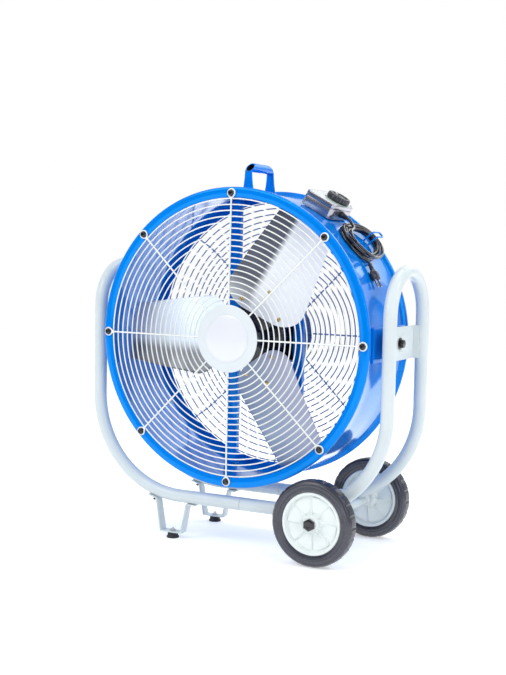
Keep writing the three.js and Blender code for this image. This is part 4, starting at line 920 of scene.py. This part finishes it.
# drawn flat with +Z out of the drum; the rings lie behind the spokes
def makeGuard(name, profile, eyelets):
    guard = guardSettings
    parts = []
    for i in range(guard["rings"]):
        radius = guard["outer"] - i * guard["pitch"]
        height = riseAt(radius, profile) - guard["spoke"] - guard["wire"] + 0.6
        parts.append(makeRing(radius, guard["wire"], 120, 8, height))
    start = guard["boltCircle"] - (guard["eyelet"] if eyelets else -1.5)
    radii = [start] + [radius for radius, height in profile[1:-1]] + [guard["spokeEnd"]]
    line = [Vector((radius, 0, riseAt(radius, profile))) for radius in radii]
    if len(line) > 2:
        line = smoothRun([line[0], Vector((331, 0, 2.6)), *line[1:]], 24)
    bits = [bendWire("spoke", line, guard["spoke"])]
    if eyelets:
        bits.append(makeEyelet())
    parts.append(repeatAround(joinPieces(bits, "spoke"), guard["spokes"]))
    return joinPieces(parts, name)


frontGuard = onFace(makeGuard("frontGuard", frontRise, True), "front")
finishPiece(frontGuard, "drum", "guard_paint", "guardPaint", "front_guard", smooth=60)
# the rear guard's navy colour is painted shade
rearGuard = onFace(makeGuard("rearGuard", rearRise, False), "rear")
finishPiece(rearGuard, "drum", "guard_paint", "rearGuardShadedPaint", "rear_guard", smooth=60)

discSettings = {
    "guardDisc": {"face": "front", "slot": "disc_plastic", "finish": "discPlastic",
                  "node": "guard_centre_disc", "smooth": 50,
                  "rings": [(0, 9.7), (60, 9.7), (74, 9.4), (79.2, 8.9), (80, 10), (79.4, 11),
                            (77.2, 11.6), (60, 11.8), (57.4, 11.8), (0, 11.8)]},
    "centreBadge": {"face": "front", "slot": "badge_plastic", "finish": "badgePlastic",
                    "node": "centre_badge", "smooth": 60,
                    "rings": [(0, 11.9), (55.2, 11.9), (56, 12.3), (55.2, 13), (51, 13.9), (42, 14.9),
                              (30, 15.5), (0, 15.8)]},
    "rearDisc": {"face": "rear", "slot": "guard_paint", "finish": "rearGuardShadedPaint",
                 "node": "rear_guard_disc", "smooth": 40,
                 "rings": [(0, 40.4), (72, 40.4), (79.2, 40), (80, 41), (79, 42.2), (70, 42.8),
                           (58, 42.6), (56, 41.9), (40, 41.9), (38, 42.6), (0, 42.8)]},
}
for name, disc in discSettings.items():
    piece = onFace(turnRings(name, disc["rings"], 96), disc["face"])
    finishPiece(piece, "drum", disc["slot"], disc["finish"], disc["node"], smooth=disc["smooth"])

boltSettings = {"count": 8, "radius": 7.4, "shank": 3, "seat": 4.6}


def makeGuardBolt(number):
    radius, shank, seat = values(boltSettings, "radius shank seat")
    rings = [(0, seat - 9), (shank, seat - 9), (shank, seat), (radius, seat), (radius, seat + 1),
             (radius * 0.93, seat + 2.8), (radius * 0.76, seat + 4.4), (radius * 0.52, seat + 5.4),
             (radius * 0.44, seat + 5.4), (radius * 0.38, seat + 3.4), (0, seat + 3.4)]
    nut = turnBar("boltNut", 5.6, -8, -3, 6, 3.1)
    piece = joinPieces([turnRings("bolt", rings, 30), nut], f"guardBolt_{number}")
    angle = (number - 1) * 2 * pi / boltSettings["count"]
    reach = guardSettings["boltCircle"]
    onFace(piece, "front", reach * sin(angle), reach * cos(angle))
    finishPiece(piece, "drum", "black_steel", "boltBlack", f"guard_bolt_{number}", smooth=40)


for number in range(1, boltSettings["count"] + 1):
    makeGuardBolt(number)
print("guards wired")

motorSettings = {"fins": 24, "bellRibs": 20, "louvres": (14, 20, 26, 32, 38), "screwX": 90, "screwZ": 48,
                 "screwSeat": 67.3, "barX": 90, "wall": 343.2}


# a small cleat that holds one end of a motor bar to the drum's wall
def makeCleat(name, side, end):
    middle = side * motorSettings["barX"]
    level = pivotHeight + end * (sqrt(343.4 ** 2 - middle ** 2) - 3)
    cleat = makeBlock(name, (middle - 16, 40, level - 1.2), (middle + 16, 66, level + 1.2), 0.8)

    def followWall(x, y, z):
        inward = 1.2 - end * (z - level)
        return x, y, pivotHeight + end * (sqrt(motorSettings["wall"] ** 2 - x ** 2) - inward)

    reshape(cleat, followWall)
    endEdit()
    finishPiece(cleat, *drumCoat)


def makeMotor():
    motor = motorSettings
    rings = [(9.7, -16), (12, -16), (13.5, -15.2), (30, -15), (33, -14), (35, -9), (39, -7.4), (52, -4.6),
             (62, -0.5), (67.4, 2.4), (70.5, 5.5), (70.5, 57), (69, 60), (69, 62.7), (50, 62.7), (50, 69),
             (48.6, 70), (50, 71), (50, 95), (48, 99), (43, 103.4), (39, 105), (0, 105)]
    core = turnRings("motorCore", rings, 96)
    fin = repeatAround(makeBlock("fin", (68, -1.3, 6), (76.4, 1.3, 60), 0.8, 3), motor["fins"])
    rib = makeBlock("bellRib", (36, -1.2, -6), (66, 1.2, 2.5), 0.7)

    def followBell(x, y, z):
        return x, y, z + (x - 36) * 0.18 - 4.4 if z < -2 else z

    reshape(rib, followBell)
    endEdit()
    repeatAround(rib, motor["bellRibs"])
    louvres = [makeRing(radius, 1, 64, 8, 104.4) for radius in motor["louvres"]]
    body = setDown(joinPieces([core, fin, rib, *louvres], "motorHousing"), fanMiddle, faceBackward)
    finishPiece(body, "drum", "black_paint", "blackPaint", "motor_housing", smooth=30)
    plate = dressNode("motor_plate", "motorPlate", 0.8)
    places = [(x * motor["screwX"], motor["screwSeat"], pivotHeight + z * motor["screwZ"])
              for x in (-1, 1) for z in (-1, 1)]
    heads = [screwHead("plateScrew", 6, 4.5, place, faceBackward) for place in places]
    plate = joinPieces([plate, *heads], "motorPlate")
    finishPiece(plate, "drum", "black_paint", "blackPaint", "motor_plate")
    for name, side in leftRight:
        bar = dressNode(f"motor_bar_{name}", f"motorBar_{name}", 1.6, 3)
        finishPiece(bar, *drumCoat, f"motor_bar_{name}")
        makeCleat(f"barCleat_{name}_foot", side, -1)
        makeCleat(f"barCleat_{name}_top", side, 1)


makeMotor()
print("motor hung")

bladeSettings = {"angles": (60, 180, 300), "middle": -60, "root": 61, "shoulder": 114, "tip": 324,
                 "rootHalf": 36, "shoulderHalf": 95, "tipHalf": 69, "rootSlope": 0.33, "tipSlope": 0.17,
                 "camber": 9, "armTip": 138, "thick": 2.2, "rivets": ((125, 0), (79, 49), (79, -49))}


# half the width of a blade at a radius u
def bladeHalf(u):
    root, shoulder, tip = values(bladeSettings, "root shoulder tip")
    rootHalf, shoulderHalf, tipHalf = values(bladeSettings, "rootHalf shoulderHalf tipHalf")
    if u < shoulder:
        t = (shoulder - u) / (shoulder - root)
        return rootHalf + (shoulderHalf - rootHalf) * sqrt(max(0, 1 - t * t))
    t = (u - shoulder) / (tip - shoulder)
    return shoulderHalf + (tipHalf - shoulderHalf) * t


# how far forward a blade stands at a radius u and v across
def bladeHeight(u, v):
    middle, armTip, tip, camber = values(bladeSettings, "middle armTip tip camber")
    rootSlope, tipSlope, shoulderHalf = values(bladeSettings, "rootSlope tipSlope shoulderHalf")
    t = max(0, (u - armTip) / (tip - armTip))
    slope = rootSlope + (tipSlope - rootSlope) * t
    edge = max(0, v / shoulderHalf)
    return middle - slope * v - camber * smoothStep(3 * t) * edge * edge


def makeBlade(number, angle):
    root, tip, tipHalf, thick = values(bladeSettings, "root tip tipHalf thick")
    flatTip = sqrt(tip ** 2 - tipHalf ** 2)

    def lay(out, across, _):
        share = ((out + 1) / 2) ** 1.6
        u = root + (flatTip - root) * share
        v = across * bladeHalf(u)
        u += (sqrt(tip ** 2 - v * v) - flatTip) * smoothStep((share - 0.75) / 0.25)
        return u, bladeHeight(u, v), v

    sheet = addShape(bpy.ops.mesh.primitive_grid_add, f"fanBlade_{number}", x_subdivisions=64,
                     y_subdivisions=36, size=2, calc_uvs=True)
    sheet.data.uv_layers[0].name = "across"
    reshape(sheet, lay, unit=1)
    bpy.ops.mesh.normals_make_consistent(inside=False)
    leaveEdit()
    applyChange(sheet, "SOLIDIFY", thickness=thick * mm, offset=0)
    softenEdges(sheet, 0.7, 2, 50)
    setDown(sheet, fanMiddle, (0, -angle, 0))
    finishPiece(sheet, "rotor", "blade_aluminium", f"bladeAluminium_{number}", f"blade_{number}",
                smooth=45)


def makeRotor():
    blade = bladeSettings
    for number, angle in enumerate(blade["angles"], 1):
        makeBlade(number, angle)
    lean = degrees(atan2(blade["rootSlope"], 1))
    rings = [(5.6, 0.9), (5.8, 1.4), (5.4, 2.2), (3.9, 3.4), (2, 4.1), (0, 4.3)]
    rivets = [setDown(turnRings("rivet", rings, 24), (u, bladeHeight(u, v), v), (90 - lean, 0, 0))
              for u, v in blade["rivets"]]
    rivets = repeatAround(joinPieces(rivets, "bladeRivets"), 3, "Y")
    setDown(rivets, fanMiddle, (0, -blade["angles"][0], 0))
    finishPiece(rivets, "rotor", "blade_aluminium", "brass")
    spider = dressNode("hub_spider", "hubSpider", 1.2, 2, 35)
    screws = repeatAround(screwHead("hubScrew", 4.2, 4, (29, 0, 80)), 6)
    setDown(screws, fanMiddle, faceForward)
    spider = joinPieces([spider, screws], "hubSpider")
    finishPiece(spider, "rotor", "black_paint", "blackPaint", "hub_spider")
    nut = turnRings("shaftNut", [(0, 80.3), (14, 80.3), (14, 88), (12, 89.3), (0, 89.3)], 6)
    softenEdges(nut, 0.7, 2, 25)
    shaft = joinPieces([turnBar("shaft", 9.5, -30, 80.5, 40), nut], "motorShaft")
    setDown(shaft, fanMiddle, faceForward)
    finishPiece(shaft, "rotor", "steel", "steel", "motor_shaft")


makeRotor()
print("rotor balanced")

boxSettings = {"left": -45, "right": 39, "front": -39, "rear": 74, "bottom": 346.3, "seam": 371,
               "top": 382, "corner": 8, "knob": (12, 22, 0), "marks": 11, "screwInset": 7.5}


# a box with cut corners, where it is high enough for them
def shellBlock(name, low, high, inset, corner, bevel):
    box = boxSettings
    block = makeBox(name, (box["left"] + inset, box["front"] + inset, low),
                    (box["right"] - inset, box["rear"] - inset, high))
    startEdit(block)
    shape = bmesh.from_edit_mesh(block.data)
    for edge in shape.edges:
        edge.select = abs(edge.verts[0].co.z - edge.verts[1].co.z) > 1 * mm
    bmesh.update_edit_mesh(block.data)
    bpy.ops.mesh.bevel(offset=corner * mm, segments=1, affect="EDGES")
    endEdit()
    return softenEdges(block, bevel, 3, 30)


def onBox(piece, at=(0, 0, 0), turn=(0, 0, 0)):
    return onShell(piece, glandSettings["angle"], at, turn)


def makeBoxShells():
    box = boxSettings
    seam, top, corner = box["seam"], box["top"], box["corner"]
    base = shellBlock("controlBase", box["bottom"], seam - 0.2, 0, corner, 0.8)
    waist = shellBlock("controlWaist", seam - 1.2, seam + 1.2, 1.1, corner - 0.4, 0.2)
    base = onBox(joinPieces([base, waist], "controlBase"))
    finishPiece(base, "drum", "grey_plastic", "boxMetal", "control_base")
    lid = onBox(shellBlock("controlLid", seam + 0.6, top, 0, corner, 1.4))
    finishPiece(lid, "drum", "grey_plastic", "boxMetal", "control_lid")
    plate = onBox(shellBlock("labelPlate", top - 0.6, top + 0.25, 3.4, corner - 1.4, 0.15))
    finishPiece(plate, "drum", "grey_plastic", "labelPlate")


def makeDial():
    spot = boxSettings["knob"]
    rings = [(4.4, 382.25), (32, 382.25), (32, 383), (31.2, 383.5), (4.4, 383.5)]
    dial = onBox(turnRings("dialPlate", rings, 72), spot)
    finishPiece(dial, "drum", "dial_plastic", "dialPlastic", "dial_plate")
    marks = []
    for i in range(boxSettings["marks"]):
        mark = makeBlock("mark", (29.2, -0.35, 383.4), (31, 0.35, 383.62), 0.05, 1)
        marks.append(setDown(mark, spot, (0, 0, 27 * i - 135)))
    finishPiece(onBox(joinPieces(marks, "dialMarks")), "drum", "dial_plastic", "markPaint")


def makeKnob():
    spot = boxSettings["knob"]
    rings = [(0, 374), (4, 374), (4, 383.8), (22, 383.8), (26.6, 384.6), (28.6, 386.4), (29, 389),
             (28.6, 393), (28, 396.2), (26.4, 398), (23.4, 398.7), (20.8, 398.2), (19.4, 396.4),
             (17, 395.4), (12, 395.6), (8, 396.6), (5, 398), (0, 398.4)]
    sides, every, inset = 96, 4, 0.955

    def cutGrip(x, y, z):
        step = round(degrees(atan2(y, x)) * sides / 360)
        if hypot(x, y) > 27 and z > 384 and step % every == 0:
            return x * inset, y * inset, z
        return x, y, z

    knob = turnRings("speedKnob", rings, sides)
    reshape(knob, cutGrip)
    endEdit()
    pointer = makeBlock("pointer", (10, -0.9, 394.6), (27, 0.9, 398.9), 0.4)
    finishPiece(onBox(pointer, spot, (0, 0, 150)), "knob", "black_plastic", "markPaint")
    finishPiece(onBox(knob, spot), "knob", "black_plastic", "knobPlastic", "speed_knob", smooth=30)


def makeLidScrews():
    box, inset = boxSettings, boxSettings["screwInset"]
    screws = [screwHead("lidScrew", 2.6, 1.6, (x, y, box["top"] + 0.1))
              for x in (box["left"] + inset, box["right"] - inset)
              for y in (box["front"] + inset, box["rear"] - inset)]
    finishPiece(onBox(joinPieces(screws, "lidScrews")), "drum", "grey_plastic", "steel")


# nut and ribbed sleeve, where the cord leaves the box
def makeGland():
    gland = glandSettings
    nut = turnRings("glandNut", [(0, 39.3), (8.6, 39.3), (8.6, 45.6), (7.6, 46.6), (0, 46.6)], 6)
    softenEdges(nut, 0.5, 2, 25)
    rings = [(7, 46), (7, 47.6), (6.4, 48.6)]
    for i in range(4):
        high, start = 6.2 - 0.32 * i, 49.2 + 2.5 * i
        rings += [(high, start), (high, start + 1.4), (high - 0.9, start + 1.7), (high - 0.9, start + 2.3)]
    sleeve = turnRings("glandSleeve", rings + [(4.6, 59.3), (0, 59.3)], 36)
    piece = onBox(joinPieces([nut, sleeve], "cordGland"), (0, gland["along"], gland["out"]), (0, 90, 0))
    finishPiece(piece, "drum", "black_plastic", "knobPlastic", "cord_gland")


makeBoxShells()
makeDial()
makeKnob()
makeLidScrews()
makeGland()
print("controls fitted")

hookSettings = {"angle": 48.5, "along": 50, "reach": 42, "out": 379, "half": 7.5, "bend": 8, "wire": 2.3,
                "foot": 345.6}


def makeHook():
    bend, half, out, along, foot = values(hookSettings, "bend half out along foot")
    tip = along + hookSettings["reach"] - half
    line = [Vector((-half, along, foot))]
    line += arcPoints((-half, along + bend, out - bend), (-half, along, out - bend), "X", -90, 10)
    line += arcPoints((0, tip, out), (-half, tip, out), "Z", -180, 20)
    line += arcPoints((half, along + bend, out - bend), (half, along + bend, out), "X", 90, 10)
    line += [Vector((half, along, foot))]
    parts = [bendWire("cordHook", line, hookSettings["wire"])]
    for side in (-1, 1):
        rings = [(0, 345.4), (4.2, 345.4), (3.6, 346.8), (2.4, 348.4), (0, 348.4)]
        parts.append(setDown(turnRings("hookWeld", rings, 20), (side * half, along, 0)))
    hook = onShell(joinPieces(parts, "cordHook"), hookSettings["angle"])
    finishPiece(hook, *drumCoat, "cord_hook", smooth=50)


makeHook()
print("hook bent")

# floor, lamps and sky
studio = {"floor": 5.0, "white": (0.93, 0.94, 0.95), "sky": (0.92, 0.955, 1.0), "skyLevel": 0.78,
          "glow": 0.36}
lamps = {
    "key": {"place": (-1.6, -3.2, 3.2), "size": 2.4, "power": 62},
    "fill": {"place": (3.4, -2.2, 1.4), "size": 1.3, "power": 23},
    "strip": {"place": (2.6, 0.4, 2.4), "size": 0.9, "power": 18},
    "back": {"place": (0.6, 3.2, 2.6), "size": 2.2, "power": 20},
    "top": {"place": (0.3, 0.9, 3.3), "size": 1.1, "power": 14},
}


def makeFloor():
    floor = addShape(bpy.ops.mesh.primitive_plane_add, "studioFloor", size=2 * studio["floor"])
    material, tree, shader = newMaterial("floorWhite")
    shader.inputs["Roughness"].default_value = 0.7
    shader.inputs["Emission Color"].default_value = (1, 1, 1, 1)
    place = addNode(tree, "TexCoord")
    speckle = addNode(tree, "TexNoise", {"Scale": 3})
    tone = addRamp(tree, [(0, [0.985 * part for part in studio["white"]]), (1, studio["white"])])
    # white for the camera and in reflections, while the shadow stays
    rays = addNode(tree, "LightPath")
    glow = addNode(tree, "Math", {1: studio["glow"]}, operation="MULTIPLY_ADD")
    linkNodes(tree, (place, "Object", speckle, "Vector"), (speckle, "Fac", tone, "Fac"),
              (tone, "Color", shader, "Base Color"), (rays, "Is Camera Ray", glow, 0),
              (rays, "Is Glossy Ray", glow, 2), (glow, "Value", shader, "Emission Strength"))
    floor.data.materials.append(material)


def makeLamps():
    for name, lamp in lamps.items():
        bpy.ops.object.light_add(type="AREA", location=lamp["place"])
        light = bpy.context.active_object
        light.name = f"{name}Lamp"
        light.data.shape = "SQUARE"
        light.data.size = lamp["size"]
        light.data.energy = lamp["power"]
        aim = Vector((0, 0, pivotHeight * mm)) - Vector(lamp["place"])
        light.rotation_euler = aim.to_track_quat("-Z", "Y").to_euler()


# the camera sees white; reflections see a front and top that dim behind and below; the rest is sky
def makeSky():
    world = bpy.data.worlds.new("studioSky")
    bpy.context.scene.world = world
    world.use_nodes = True
    tree = world.node_tree
    tree.nodes.clear()
    rays = addNode(tree, "LightPath")
    plain = addNode(tree, "Background", {"Color": (*studio["sky"], 1), "Strength": studio["skyLevel"]})
    white = addNode(tree, "Background", {"Color": (1, 1, 1, 1)})
    glossy = addNode(tree, "Background")
    place = addNode(tree, "TexCoord")
    split = addNode(tree, "SeparateXYZ")
    wave = addNode(tree, "Math", {1: -0.55}, operation="MULTIPLY_ADD")
    lift = addNode(tree, "MapRange", {"From Min": -1.2, "From Max": 1.2})
    stops = [(0.0, 0.10), (0.27, 0.95), (0.36, 1.0), (0.5, 0.9), (0.6, 0.85), (0.66, 0.12), (0.76, 0.2),
             (0.86, 0.72), (1.0, 0.9)]
    tone = addRamp(tree, [(spot, (level * 0.94, level * 0.97, level)) for spot, level in stops])
    first, second = (addNode(tree, "MixShader") for _ in range(2))
    out = addNode(tree, "OutputWorld")
    linkNodes(tree, (place, "Generated", split, "Vector"), (split, "Y", wave, 0), (split, "Z", wave, 2),
              (wave, "Value", lift, "Value"), (lift, "Result", tone, "Fac"),
              (tone, "Color", glossy, "Color"), (rays, "Is Glossy Ray", first, "Fac"),
              (plain, "Background", first, 1), (glossy, "Background", first, 2),
              (rays, "Is Camera Ray", second, "Fac"), (first, "Shader", second, 1),
              (white, "Background", second, 2), (second, "Shader", out, "Surface"))


makeFloor()
makeLamps()
makeSky()
bpy.context.scene.view_settings.view_transform = "Standard"
print("studio lit")
